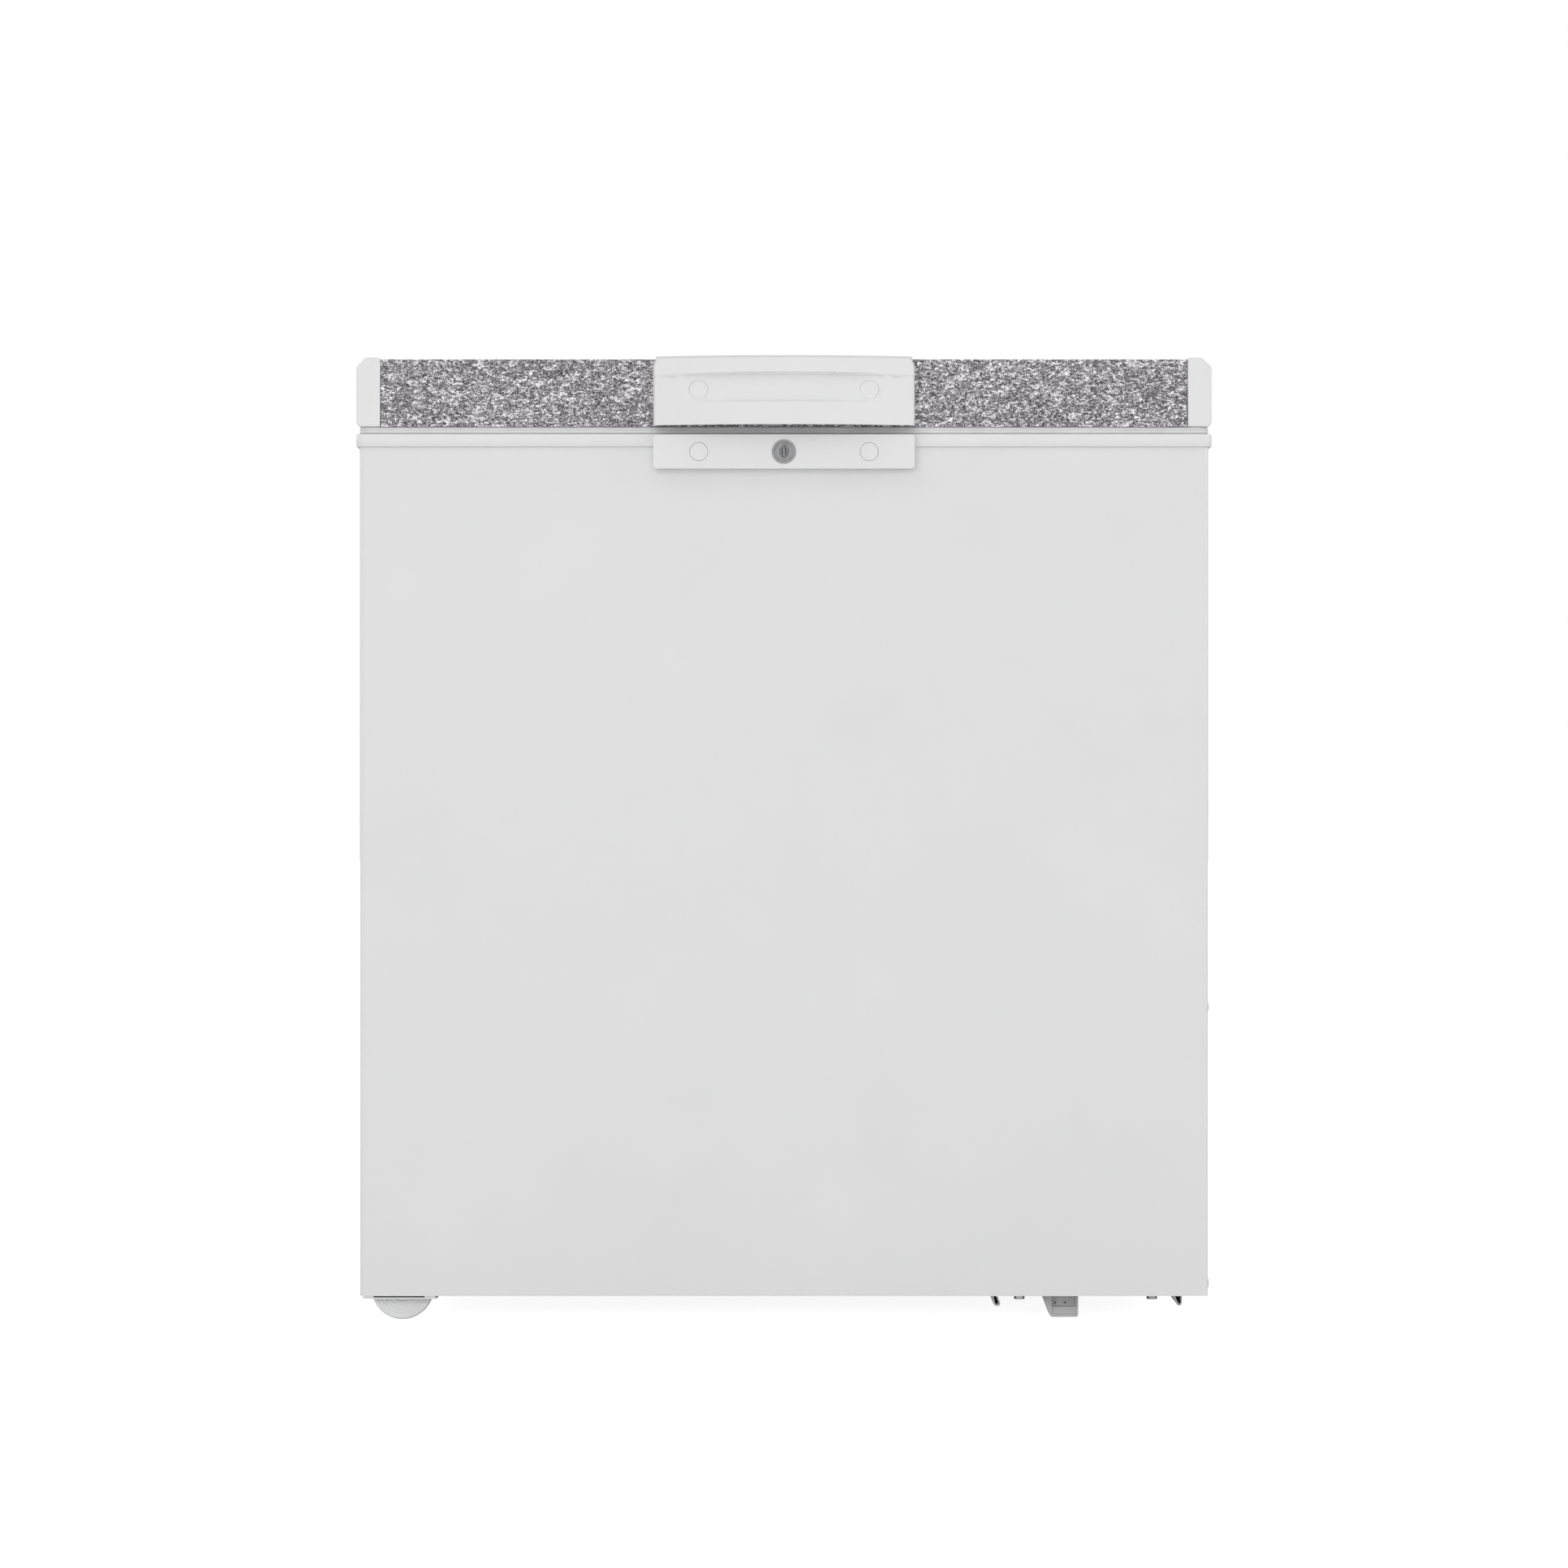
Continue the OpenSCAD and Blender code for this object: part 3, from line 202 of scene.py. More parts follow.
class Surface:
    """A material whose colour, roughness and relief vary by noise in the piece's own space."""

    def __init__(self, name, colour, roughness, metallic=0.0, **constants):
        self.material = bpy.data.materials.new(name)
        self.material.use_nodes = True
        self.nodes = self.material.node_tree.nodes
        self.links = self.material.node_tree.links
        self.shader = self.nodes["Principled BSDF"]
        self.set("Base Color", (*colour, 1))
        self.set("Roughness", roughness)
        self.set("Metallic", metallic)
        for socket, value in constants.items():
            self.set(socket.replace("_", " ").title().replace("Ior", "IOR"), value)
        self.colour = colour
        self.roughness = roughness
        self.place = self.nodes.new("ShaderNodeTexCoord").outputs["Object"]
        self.colour_source = None
        self.relief = None

    def set(self, socket, value):
        self.shader.inputs[socket].default_value = value

    def node(self, kind, **inputs):
        node = self.nodes.new(kind)
        for socket, value in inputs.items():
            slot = node.inputs[socket.replace("_", " ")]
            if hasattr(value, "links"):
                self.links.new(value, slot)
            else:
                slot.default_value = value
        return node

    def stretched(self, stretch):
        if stretch == (1, 1, 1):
            return self.place
        return self.node("ShaderNodeMapping", Vector=self.place, Scale=stretch).outputs[0]

    def noise(self, size, detail=2.0, rough=0.5, stretch=(1, 1, 1), distortion=0.0):
        """Noise whose features are about size metres across."""
        node = self.node("ShaderNodeTexNoise", Vector=self.stretched(stretch), Scale=1 / size, Detail=detail,
                         Roughness=rough, Distortion=distortion)
        return node.outputs[0]

    def cells(self, size, output="Distance"):
        node = self.nodes.new("ShaderNodeTexVoronoi")
        self.links.new(self.place, node.inputs["Vector"])
        node.inputs["Scale"].default_value = 1 / size
        return node.outputs[output]

    def ranged(self, value, low, high, a, b, ease="SMOOTHSTEP"):
        """Maps low..high to a..b, within bounds."""
        node = self.nodes.new("ShaderNodeMapRange")
        node.interpolation_type = ease
        self.links.new(value, node.inputs["Value"])
        for socket, number in zip(("From Min", "From Max", "To Min", "To Max"), (low, high, a, b)):
            node.inputs[socket].default_value = number
        return node.outputs[0]

    def tint(self, factor, colour):
        """Mixes another colour in by a 0..1 factor."""
        mix = self.nodes.new("ShaderNodeMix")
        mix.data_type = "RGBA"
        self.links.new(factor, mix.inputs[0])
        if self.colour_source is None:
            mix.inputs[6].default_value = (*self.colour, 1)
        else:
            self.links.new(self.colour_source, mix.inputs[6])
        mix.inputs[7].default_value = (*colour, 1)
        self.colour_source = mix.outputs[2]
        self.links.new(self.colour_source, self.shader.inputs["Base Color"])
        return self

    def mottle(self, size, amount, **noise):
        """Lightens and darkens the colour a little, over features of that size."""
        field = self.noise(size, **noise)
        self.tint(self.ranged(field, 0.5, 0.75, 0, 1), tuple(min(c * (1 + amount), 1) for c in self.colour))
        return self.tint(self.ranged(field, 0.5, 0.25, 0, 1), tuple(c * (1 - amount) for c in self.colour))

    def gloss(self, size, spread, **noise):
        """Varies the roughness about its value."""
        field = self.ranged(self.noise(size, **noise), 0.3, 0.7, self.roughness - spread,
                            self.roughness + spread)
        self.links.new(field, self.shader.inputs["Roughness"])
        return self

    def bump(self, field, depth):
        """Adds relief of that depth in metres from a 0..1 field."""
        node = self.node("ShaderNodeBump", Height=field, Distance=depth)
        if self.relief is not None:
            self.links.new(self.relief, node.inputs["Normal"])
        self.relief = node.outputs[0]
        self.links.new(self.relief, self.shader.inputs["Normal"])
        return self


def painted(name, colour, roughness=0.36):
    """Pre-painted sheet steel: orange peel, faint clouding, fine dust in the gloss."""
    s = Surface(name, colour, roughness, coat_weight=0.15, coat_roughness=0.3)
    s.mottle(0.09, 0.012).gloss(0.03, 0.05, detail=4.0)
    s.bump(s.noise(0.0035, detail=2.0), 0.00002)
    return s.bump(s.noise(0.0006, detail=1.0), 0.000003)


def moulded(name, colour, roughness=0.42, grain=0.0005, depth=0.000012):
    """Injection-moulded plastic: spark-eroded grain, flow clouding and light scuffs."""
    s = Surface(name, colour, roughness, specular_ior_level=0.45)
    s.mottle(0.05, 0.015, detail=3.0).gloss(0.012, 0.07, detail=5.0)
    s.bump(s.noise(grain, detail=3.0), depth)
    return s.bump(s.noise(0.03, detail=1.0), 0.00004)


def sheet_metal(name, colour, roughness=0.34, spangle=0.012):
    """Zinc-plated sheet: crystal spangle, rolling streaks and dull patches."""
    s = Surface(name, colour, roughness, metallic=1.0)
    crystals = s.cells(spangle, output="Color")
    level = s.node("ShaderNodeSeparateColor", Color=crystals).outputs[0]
    s.tint(s.ranged(level, 0.0, 1.0, 0.0, 0.5), tuple(c * 0.78 for c in colour))
    s.mottle(0.06, 0.06, detail=4.0)
    s.links.new(s.ranged(level, 0.0, 1.0, roughness - 0.07, roughness + 0.09), s.shader.inputs["Roughness"])
    s.bump(s.noise(0.0012, detail=3.0, stretch=(1, 0.08, 1)), 0.00001)
    return s


def drawn_metal(name, colour, tarnish, roughness=0.3):
    """Drawn tube or wire: fine die lines with darker oxide clouds."""
    s = Surface(name, colour, roughness, metallic=1.0)
    s.tint(s.ranged(s.noise(0.02, detail=5.0, rough=0.6), 0.42, 0.66, 0, 0.85), tarnish)
    s.gloss(0.006, 0.12, detail=4.0)
    return s.bump(s.noise(0.0005, detail=2.0), 0.000015)


def laminate(name):
    """Granite-speckle film: dark and pale clusters, broken up by worm-like grains and bright flecks."""
    s = Surface(name, (0.36, 0.35, 0.37), 0.42, specular_ior_level=0.3)
    total = None
    for size, across, detail, distortion, share in LAMINATE_LAYERS:
        field = s.noise(size, detail, stretch=(across, 1, 1), distortion=distortion)
        add = s.nodes.new("ShaderNodeMath")
        add.operation = "MULTIPLY_ADD"
        s.links.new(field, add.inputs[0])
        add.inputs[1].default_value = share
        if total is None:
            add.inputs[2].default_value = 0.0
        else:
            s.links.new(total, add.inputs[2])
        total = add.outputs[0]
    ramp = s.nodes.new("ShaderNodeValToRGB")
    s.links.new(s.ranged(total, *LAMINATE_RANGE, 0, 1, "LINEAR"), ramp.inputs[0])
    stops = ramp.color_ramp.elements
    for position, level in LAMINATE_STOPS:
        stop = stops.new(position) if position not in (0.0, 1.0) else stops[int(position)]
        stop.color = (*tone(level + 1, level - 2, level + 3), 1)
    s.links.new(ramp.outputs[0], s.shader.inputs["Base Color"])
    s.gloss(0.004, 0.06)
    return s.bump(field, 0.000012)


def srgb(level):
    """Linear value of an 8-bit sRGB level."""
    v = level / 255
    return v / 12.92 if v <= 0.04045 else ((v + 0.055) / 1.055) ** 2.4


def tone(r, g, b):
    return (srgb(r), srgb(g), srgb(b))


# Each layer: size of its features, how much it is drawn out along X, detail, distortion, share of the sum
LAMINATE_LAYERS = ((0.0105, 0.5, 2.0, 1.2, 0.104), (0.0042, 0.55, 1.0, 1.6, 0.445), (0.0014, 0.6, 0.0, 1.4, 0.451))
LAMINATE_RANGE = (0.29, 0.71)
# Where each tone sits in that range, darkest first
LAMINATE_STOPS = (
    (0.000, 26), (0.099, 30), (0.208, 38), (0.270, 54), (0.376, 87), (0.498, 138),
    (0.620, 180), (0.728, 215), (0.789, 234), (0.897, 250), (1.000, 252),
)


def speckled_foam(name, colour):
    s = Surface(name, colour, 0.85)
    s.mottle(0.01, 0.12, detail=4.0)
    return s.bump(s.cells(0.0012), 0.0004)


def stucco(name):
    """Painted aluminium, pressed all over with a fine pebble pattern."""
    s = Surface(name, (0.72, 0.74, 0.75), 0.32, metallic=0.25, coat_weight=0.3, coat_roughness=0.25)
    s.mottle(0.12, 0.02).gloss(0.02, 0.05, detail=3.0)
    s.bump(s.noise(0.0045, detail=0.0), 0.0007)
    return s.bump(s.noise(0.0012), 0.00003)


def enamel_with_dust(name):
    """Black enamel that has dust on what faces up."""
    s = Surface(name, (0.012, 0.012, 0.014), 0.3, coat_weight=0.4, coat_roughness=0.15)
    normal = s.nodes.new("ShaderNodeNewGeometry").outputs["Normal"]
    up = s.node("ShaderNodeSeparateXYZ", Vector=normal).outputs[2]
    dust = s.nodes.new("ShaderNodeMath")
    dust.operation = "MULTIPLY"
    s.links.new(s.ranged(up, 0.3, 1.0, 0, 0.5), dust.inputs[0])
    s.links.new(s.noise(0.02, detail=5.0), dust.inputs[1])
    s.tint(dust.outputs[0], (0.3, 0.28, 0.25))
    s.gloss(0.01, 0.1, detail=4.0)
    return s.bump(s.noise(0.0025, detail=2.0), 0.00005)


def rubbery(name, colour, roughness=0.6):
    s = Surface(name, colour, roughness, specular_ior_level=0.35)
    s.mottle(0.02, 0.06, detail=3.0).gloss(0.006, 0.08, detail=3.0)
    return s.bump(s.noise(0.0008, detail=3.0), 0.00002)


def lens(name, colour):
    s = Surface(name, colour, 0.12, coat_weight=0.6, coat_roughness=0.05, subsurface_weight=0.2)
    s.mottle(0.002, 0.25)
    s.gloss(0.002, 0.03)
    return s.bump(s.cells(0.0007), 0.00006)


def lock_metal(name):
    """Worn satin nickel: fine mottling, uneven gloss and a faint grain."""
    s = Surface(name, (0.50, 0.50, 0.51), 0.36, metallic=0.75)
    s.mottle(0.003, 0.12, detail=4.0).gloss(0.0015, 0.12, detail=3.0)
    return s.bump(s.noise(0.0003, detail=2.0), 0.00001)


SURFACES = {
    "white_skin": painted("white_skin", (0.735, 0.735, 0.737)),
    "white_plastic": moulded("white_plastic", (0.757, 0.757, 0.760)),
    "knob_plastic": moulded("knob_plastic", (0.78, 0.78, 0.78)),
    "roller_plastic": moulded("roller_plastic", (0.84, 0.84, 0.845), 0.5, grain=0.0008, depth=0.00004),
    "zinc_steel": sheet_metal("zinc_steel", (0.62, 0.63, 0.65)),
    "bolt_steel": drawn_metal("bolt_steel", (0.66, 0.67, 0.70), (0.42, 0.42, 0.40), 0.25),
    "spring_steel": drawn_metal("spring_steel", (0.22, 0.22, 0.23), (0.08, 0.07, 0.06), 0.35),
    "condenser_steel": drawn_metal("condenser_steel", (0.33, 0.33, 0.34), (0.16, 0.13, 0.11), 0.4),
    "evaporator_metal": drawn_metal("evaporator_metal", (0.76, 0.77, 0.79), (0.55, 0.56, 0.57), 0.35),
    "copper": drawn_metal("copper", (0.78, 0.40, 0.26), (0.32, 0.15, 0.09), 0.3),
    "liner": stucco("liner"),
    "foam": speckled_foam("foam", (0.72, 0.60, 0.34)),
    "black_paint": enamel_with_dust("black_paint"),
    "black_rubber": rubbery("black_rubber", (0.022, 0.022, 0.022)),
    "gasket_grey": rubbery("gasket_grey", (0.71, 0.71, 0.715), 0.5),
    "black_plastic": moulded("black_plastic", (0.022, 0.022, 0.024), 0.5, grain=0.0009, depth=0.00005),
    "grey_plastic": moulded("grey_plastic", (0.40, 0.41, 0.43), 0.5),
    "grey_panel": painted("grey_panel", (0.50, 0.51, 0.53), 0.45),
    "switch_orange": lens("switch_orange", (0.80, 0.25, 0.03)),
    "green_lens": lens("green_lens", (0.04, 0.45, 0.10)),
    "red_lens": lens("red_lens", (0.55, 0.03, 0.02)),
    "lock_metal": lock_metal("lock_metal"),
    "speckled_laminate": laminate("speckled_laminate"),
    "coated_wire": moulded("coated_wire", (0.80, 0.81, 0.82), 0.28, grain=0.0012, depth=0.00003),
}


def paint(piece, slot):
    piece.data.materials.clear()
    piece.data.materials.append(SURFACES[slot].material)


def hand_over(piece, body, slot, *nodes):
    """Gives a new piece its material, its body and the CAD nodes that it stands for."""
    paint(piece, slot)
    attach(piece, body)
    if nodes:
        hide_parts(*nodes)
    return piece


def dress(node, width):
    """Keeps a CAD node: its own material, and soft edges from modifiers."""
    piece = NODES[node]
    for polygon in piece.data.polygons:
        polygon.use_smooth = True
    weld = piece.modifiers.new("weld", "WELD")
    weld.merge_threshold = SEAM if node in SEAMED else WELD
    flats = piece.modifiers.new("flats", "DECIMATE")
    flats.decimate_type = "DISSOLVE"
    flats.angle_limit = math.radians(0.4)
    soften(piece, width, 2)


# ---------- stage ----------

FRONT_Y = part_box("top_frame")[0].y
CAMERA_BACK = 5.0
CAMERA_Z = 0.474
VIEW_WIDTH = 1.3825
SENSOR = 36.0
SKY = 0.60
FLOOR = 0.76


def make_camera():
    data = bpy.data.cameras.new("camera")
    data.sensor_width = SENSOR
    data.lens = SENSOR * CAMERA_BACK / VIEW_WIDTH
    data.clip_end = 100
    camera = bpy.data.objects.new("camera", data)
    camera.location = (0, FRONT_Y - CAMERA_BACK, CAMERA_Z)
    camera.rotation_euler = (math.pi / 2, 0, 0)
    bpy.context.scene.collection.objects.link(camera)
    bpy.context.scene.camera = camera


def area_light(name, place, target, size, power):
    data = bpy.data.lights.new(name, "AREA")
    data.shape = "RECTANGLE"
    data.size, data.size_y = size
    data.energy = power
    light = bpy.data.objects.new(name, data)
    light.location = place
    light.rotation_euler = (Vector(target) - Vector(place)).to_track_quat("-Z", "Y").to_euler()
    light.visible_camera = False
    light.visible_glossy = name != "front"
    bpy.context.scene.collection.objects.link(light)


def seen_or_lit(nodes, links, seen, lit, output):
    """One shader for what the camera sees, another for the light that reaches the part."""
    mix = nodes.new("ShaderNodeMixShader")
    links.new(nodes.new("ShaderNodeLightPath").outputs["Is Camera Ray"], mix.inputs[0])
    links.new(lit, mix.inputs[1])
    links.new(seen, mix.inputs[2])
    links.new(mix.outputs[0], output)


def make_stage():
    """A white sweep: a pale floor under an even sky, with a soft key light from the upper left."""
    world = bpy.data.worlds.new("studio")
    bpy.context.scene.world = world
    world.use_nodes = True
    nodes, links = world.node_tree.nodes, world.node_tree.links
    sky = nodes["Background"]
    sky.inputs["Color"].default_value = (1, 1, 1, 1)
    sky.inputs["Strength"].default_value = SKY
    backdrop = nodes.new("ShaderNodeBackground")
    backdrop.inputs["Color"].default_value = (1, 1, 1, 1)
    seen_or_lit(nodes, links, backdrop.outputs[0], sky.outputs[0], nodes["World Output"].inputs["Surface"])
    area_light("front", (-0.5, -5.5, 1.0), (0, 0, 0.45), (3.0, 2.4), 100)
    area_light("key", (-1.4, -3.2, 3.4), (0, 0, 0.5), (2.4, 2.0), 11)
    area_light("right", (4.0, -1.0, 1.8), (0, 0, 0.5), (2.4, 2.0), 30)
    area_light("left", (-4.0, 0.6, 1.8), (0, 0, 0.5), (2.4, 2.0), 22)
    area_light("back", (0.6, 4.4, 2.6), (0, 0, 0.5), (2.4, 2.0), 50)
    size = 30
    floor = new_object("floor", [(-size, -size, 0), (size, -size, 0), (size, size, 0), (-size, size, 0)],
                       [(0, 1, 2, 3)])
    pale = Surface("floor", (0.9, 0.9, 0.9), 0.9, emission_strength=0.92, specular_ior_level=0.0)
    pale.set("Emission Color", (1, 1, 1, 1))
    pale.mottle(0.8, 0.004)
    matt = pale.node("ShaderNodeBsdfDiffuse", Color=(FLOOR, FLOOR, FLOOR, 1))
    seen_or_lit(pale.nodes, pale.links, pale.shader.outputs[0], matt.outputs[0],
                pale.nodes["Material Output"].inputs["Surface"])
    floor.data.materials.append(pale.material)
    bpy.context.scene.view_settings.view_transform = "Standard"


# ---------- rim frame, gasket and liner ----------

def make_rim_frame():
    """The moulded frame round the mouth: outer skirt, flat top, inner wall, basket ledge and hanging skirt."""
    low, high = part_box("top_frame")
    liner_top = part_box("inner_liner")[1].z
    skirt = 0.0115
    edge = 0.0016
    mouth = 0.0595
    wall = 0.002
    ledge = liner_top + 0.0025
    ledge_in = mouth + 0.008
    profile = [
        (0.0024, 0.008, high.z - skirt), (0.0004, 0.008, high.z - skirt), (0.0, 0.008, high.z - skirt + 0.0004),
        (0.0, 0.008, high.z - 0.004), (0.0, 0.008, high.z - edge)]
    for k in range(1, 6):
        a = math.pi / 2 * k / 5
        profile.append((edge * (1 - math.cos(a)), 0.008, high.z - edge * (1 - math.sin(a))))
    lip = 0.006
    profile += [(0.010, 0.010, high.z), (0.018, 0.013, high.z), (0.040, 0.020, high.z - 0.0006),
                (mouth - lip, 0.026, high.z - 0.0008)]
    for k in range(1, 7):
        a = math.pi / 2 * k / 6
        profile.append((mouth - lip * (1 - math.sin(a)), 0.026, high.z - 0.0008 - lip * (1 - math.cos(a))))
    profile += [(mouth, 0.025, high.z - 0.03), (mouth, 0.025, ledge + 0.003),
                (mouth + 0.0008, 0.0245, ledge + 0.0008), (mouth + 0.003, 0.024, ledge),
                (ledge_in - 0.001, 0.018, ledge), (ledge_in, 0.017, ledge - 0.001),
                (ledge_in, 0.017, low.z + 0.001), (ledge_in - 0.0004, 0.017, low.z),
                (ledge_in - 0.0016, 0.018, low.z),
                (ledge_in - wall, 0.018, low.z + 0.001), (ledge_in - wall, 0.018, ledge - wall),
                (mouth - wall, 0.024, ledge - wall), (mouth - wall, 0.024, high.z - 0.012),
                (mouth - 0.012, 0.022, high.z - 0.003), (0.0026, 0.008, high.z - 0.003)]
    rings = [inset_ring(low, high, inset, radius, z, 12) for inset, radius, z in profile]
    return hand_over(loft("rim_frame", rings, closed=True), "cabinet", "white_plastic", "top_frame")


def make_gasket():
    """A bellows gasket: a flat magnet face below, a grooved side, and the root in the lid's channel."""
    low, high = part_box("lid_gasket")
    bulge = Vector((0.0055, 0.0055, 0))
    low, high = low - bulge, high + bulge
    h = high.z - low.z
    w = 0.015
    side = [(0.0012, 1.0), (0.0003, 0.96), (0.0, 0.88), (0.0002, 0.62), (0.0008, 0.56), (0.0008, 0.52),
            (0.0002, 0.46), (0.0, 0.22), (0.0004, 0.07), (0.0012, 0.0)]
    profile = side + [(w - x, z) for x, z in reversed(side)]
    rings = [inset_ring(low, high, x, 0.012 - x * 0.4, low.z + h * z, 10) for x, z in profile]
    return hand_over(loft("bellows_gasket", rings, closed=True), "lid", "gasket_grey", "lid_gasket")


def make_liner():
    """The storage space's lining: rounded corners and folds, with the step over the machine room."""
    low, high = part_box("inner_liner")
    sheet = 0.001
    r = 0.020
    step_x = 0.140
    step_z = 0.330
    floor_z = low.z + sheet
    x0, y0, x1, y1 = low.x + sheet, low.y + sheet, high.x - sheet, high.y - sheet
    fold = 0.005

    def section(right, z_left, z_right, inset=0.0):
        points = ring((x0 + inset, y0 + inset), (right - inset, y1 - inset), r - inset, 0, 8)
        for p in points:
            t = (p.x - x0) / (right - x0)
            p.z = z_left + (z_right - z_left) * smooth(t)
        return points

    rings = [section(x1, high.z, high.z), section(x1, 0.52, 0.52), section(x1, 0.42, step_z + fold)]
    for k in range(1, 5):
        a = math.pi / 2 * k / 4
        rings.append(section(x1 - fold * (1 - math.cos(a)), 0.42 - 0.005 * k, step_z + fold * (1 - math.sin(a))))
    for k in range(1, 9):
        rings.append(section(x1 - fold - (x1 - fold - step_x - fold) * k / 8, 0.40 - 0.008 * k, step_z))
    for k in range(1, 5):
        a = math.pi / 2 * k / 4
        rings.append(section(step_x + fold * (1 - math.sin(a)), 0.336 - 0.004 * k, step_z - fold * (1 - math.cos(a))))
    rings += [section(step_x, 0.25, 0.25), section(step_x, floor_z + fold, floor_z + fold)]
    for k in range(1, 5):
        a = math.pi / 2 * k / 4
        rings.append(section(step_x, floor_z + fold * (1 - math.sin(a)), floor_z + fold * (1 - math.sin(a)),
                             fold * (1 - math.cos(a))))
    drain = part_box("drain_tube")
    centre = (drain[0] + drain[1]) / 2
    count = len(rings[0])
    hole = [Vector((centre.x + 0.0105 * math.cos(2 * math.pi * (k + 4) / count),
                    centre.y + 0.0105 * math.sin(2 * math.pi * (k + 4) / count), floor_z)) for k in range(count)]
    rings.append(hole)
    piece = loft("lined_storage", rings)
    thick = piece.modifiers.new("sheet", "SOLIDIFY")
    thick.thickness = sheet * 0.9
    thick.offset = -1
    bpy.context.view_layer.update()
    return hand_over(piece, "cabinet", "liner", "inner_liner")


# ---------- lid ----------

def make_inner_panel():
    """The lid's vacuum-formed inner panel: a flange, a plug with a small radius, a raised band and a raised field."""
    low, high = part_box("lid_inner_panel")
    plug_low, plug_high = Vector((-0.302, -0.252, low.z)), Vector((0.302, 0.270, low.z))
    flange_z = high.z - 0.0006
    rings = [inset_ring(low, high, 0.0, 0.004, high.z, 8), inset_ring(low, high, 0.0, 0.004, flange_z - 0.0004, 8)]
    rings.append(ring((plug_low.x - 0.006, plug_low.y - 0.006), (plug_high.x + 0.006, plug_high.y + 0.006),
                      0.031, flange_z - 0.0004, 8))
    top = flange_z - 0.0004
    for inset, z in ((-0.003, top - 0.0008), (-0.0008, top - 0.003), (0.0, top - 0.006), (0.0, low.z + 0.0019)):
        rings.append(inset_ring(plug_low, plug_high, inset, 0.025, z, 8))
    for inset, rise in ((0.00014, 0.00117), (0.00056, 0.00056), (0.00117, 0.00014), (0.0019, 0.0), (0.030, 0.0),
                        (0.0325, -0.0004), (0.035, -0.0011), (0.038, -0.0015), (0.044, -0.0015), (0.047, -0.0011),
                        (0.050, -0.0004), (0.053, 0.0), (0.110, 0.0), (0.113, -0.0004), (0.116, -0.0012),
                        (0.122, -0.0015), (0.200, -0.0015)):
        rings.append(inset_ring(plug_low, plug_high, inset, max(0.025 - inset * 0.25, 0.010), low.z + rise, 8))
    piece = loft("formed_inner_panel", rings, cap_end=True)
    thick = piece.modifiers.new("sheet", "SOLIDIFY")
    thick.thickness = 0.0009
    thick.offset = -1
    return hand_over(piece, "lid", "white_plastic", "lid_inner_panel")


def make_trim(side):
    """One end trim, as seen from the front: chamfered above, rounded below, its front and rear faces crowned."""
    low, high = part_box("lid_side_trims")
    inner, outer = 0.3558, high.x
    bottom, top = low.z, high.z
    cut = 0.0086

    def outline(grow):
        """The closed section, taken in by grow; it starts at the inner bottom corner."""
        points = [(inner + 0.0003 + grow * 0.5, bottom + grow), (outer - 0.008, bottom + grow)]
        r = 0.0045
        for k in range(7):
            a = -math.pi / 2 + math.pi / 2 * k / 6
            points.append((outer - r + (r - grow) * math.cos(a), bottom + r + (r - grow) * math.sin(a)))
        for z in (0.3, 0.5, 0.7):
            points.append((outer - grow, bottom + (top - bottom) * z))
        for x, z, r, start, sweep in ((outer - 0.003, top - cut - 0.001, 0.003, 0, 45),
                                      (outer - cut - 0.001, top - 0.003, 0.003, 45, 45),
                                      (inner + 0.002, top - 0.002, 0.002, 90, 90)):
            for k in range(5):
                a = math.radians(start + sweep * k / 4)
                points.append((x + (r - grow) * math.cos(a), z + (r - grow) * math.sin(a)))
        points.append((inner + grow * 0.5, top - 0.006))
        return points

    stations = [(low.y, 0.0016), (low.y + 0.0002, 0.0008), (low.y + 0.0007, 0.0003), (low.y + 0.0016, 0.0)]
    stations += [(low.y + 0.02, 0.0), (high.y - 0.02, 0.0)]
    stations += [(high.y - 0.0016, 0.0), (high.y - 0.0007, 0.0003), (high.y - 0.0002, 0.0008), (high.y, 0.0016)]
    rings = [[Vector((side * x, y, z)) for x, z in outline(grow)] for y, grow in stations]
    piece = loft("trim_right" if side > 0 else "trim_left", rings, cap_start=True, cap_end=True)
    even = piece.modifiers.new("shading", "WEIGHTED_NORMAL")
    even.keep_sharp = False
    return piece


def make_trims():
    right = make_trim(1)
    left = make_trim(-1)
    hand_over(right, "lid", "white_plastic", "lid_side_trims")
    hand_over(left, "lid", "white_plastic", "lid_side_trims")


HANDLE_LOW, HANDLE_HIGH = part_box("handle")
HANDLE_BOW = 0.409
CREASE_Z = HANDLE_LOW.z + 0.0433
SCOOP_Z = HANDLE_LOW.z + 0.0200
SCOOP_X = 0.086
CAP_X = 0.075
CAP_Z = HANDLE_LOW.z + 0.031


def handle_half_width(z):
    """The ends of the handle lean in near the top."""
    return HANDLE_HIGH.x - 0.0028 * smooth((z - HANDLE_HIGH.z + 0.0105) / 0.0105)


def handle_front(x, z):
    """The front surface: bowed, leaning back above the crease, with a shallow scoop below it."""
    y = HANDLE_LOW.y + HANDLE_BOW - math.sqrt(HANDLE_BOW ** 2 - x * x)
    middle = 1 - (x / HANDLE_HIGH.x) ** 2
    ridge_z = CREASE_Z + 0.0010 + 0.0014 * middle
    if z > ridge_z:
        return y + 0.26 * (z - ridge_z) + 0.0035 * smooth((z - HANDLE_HIGH.z + 0.003) / 0.003) ** 2
    ends = math.sqrt(max(1 - (x / SCOOP_X) ** 2, 0.0))
    step = (0.0007 + 0.0006 * middle) * smooth((ridge_z - z) / 0.0014)
    step *= 1 - smooth((CREASE_Z - z) / 0.030)
    t = (z - SCOOP_Z) / (ridge_z - SCOOP_Z)
    hollow = 0.0040 * (1 - (2 * t - 1) ** 2) + 0.0014 * smooth(t / 0.06)
    return y + step + ends * (hollow if t > 0 else 0.0)


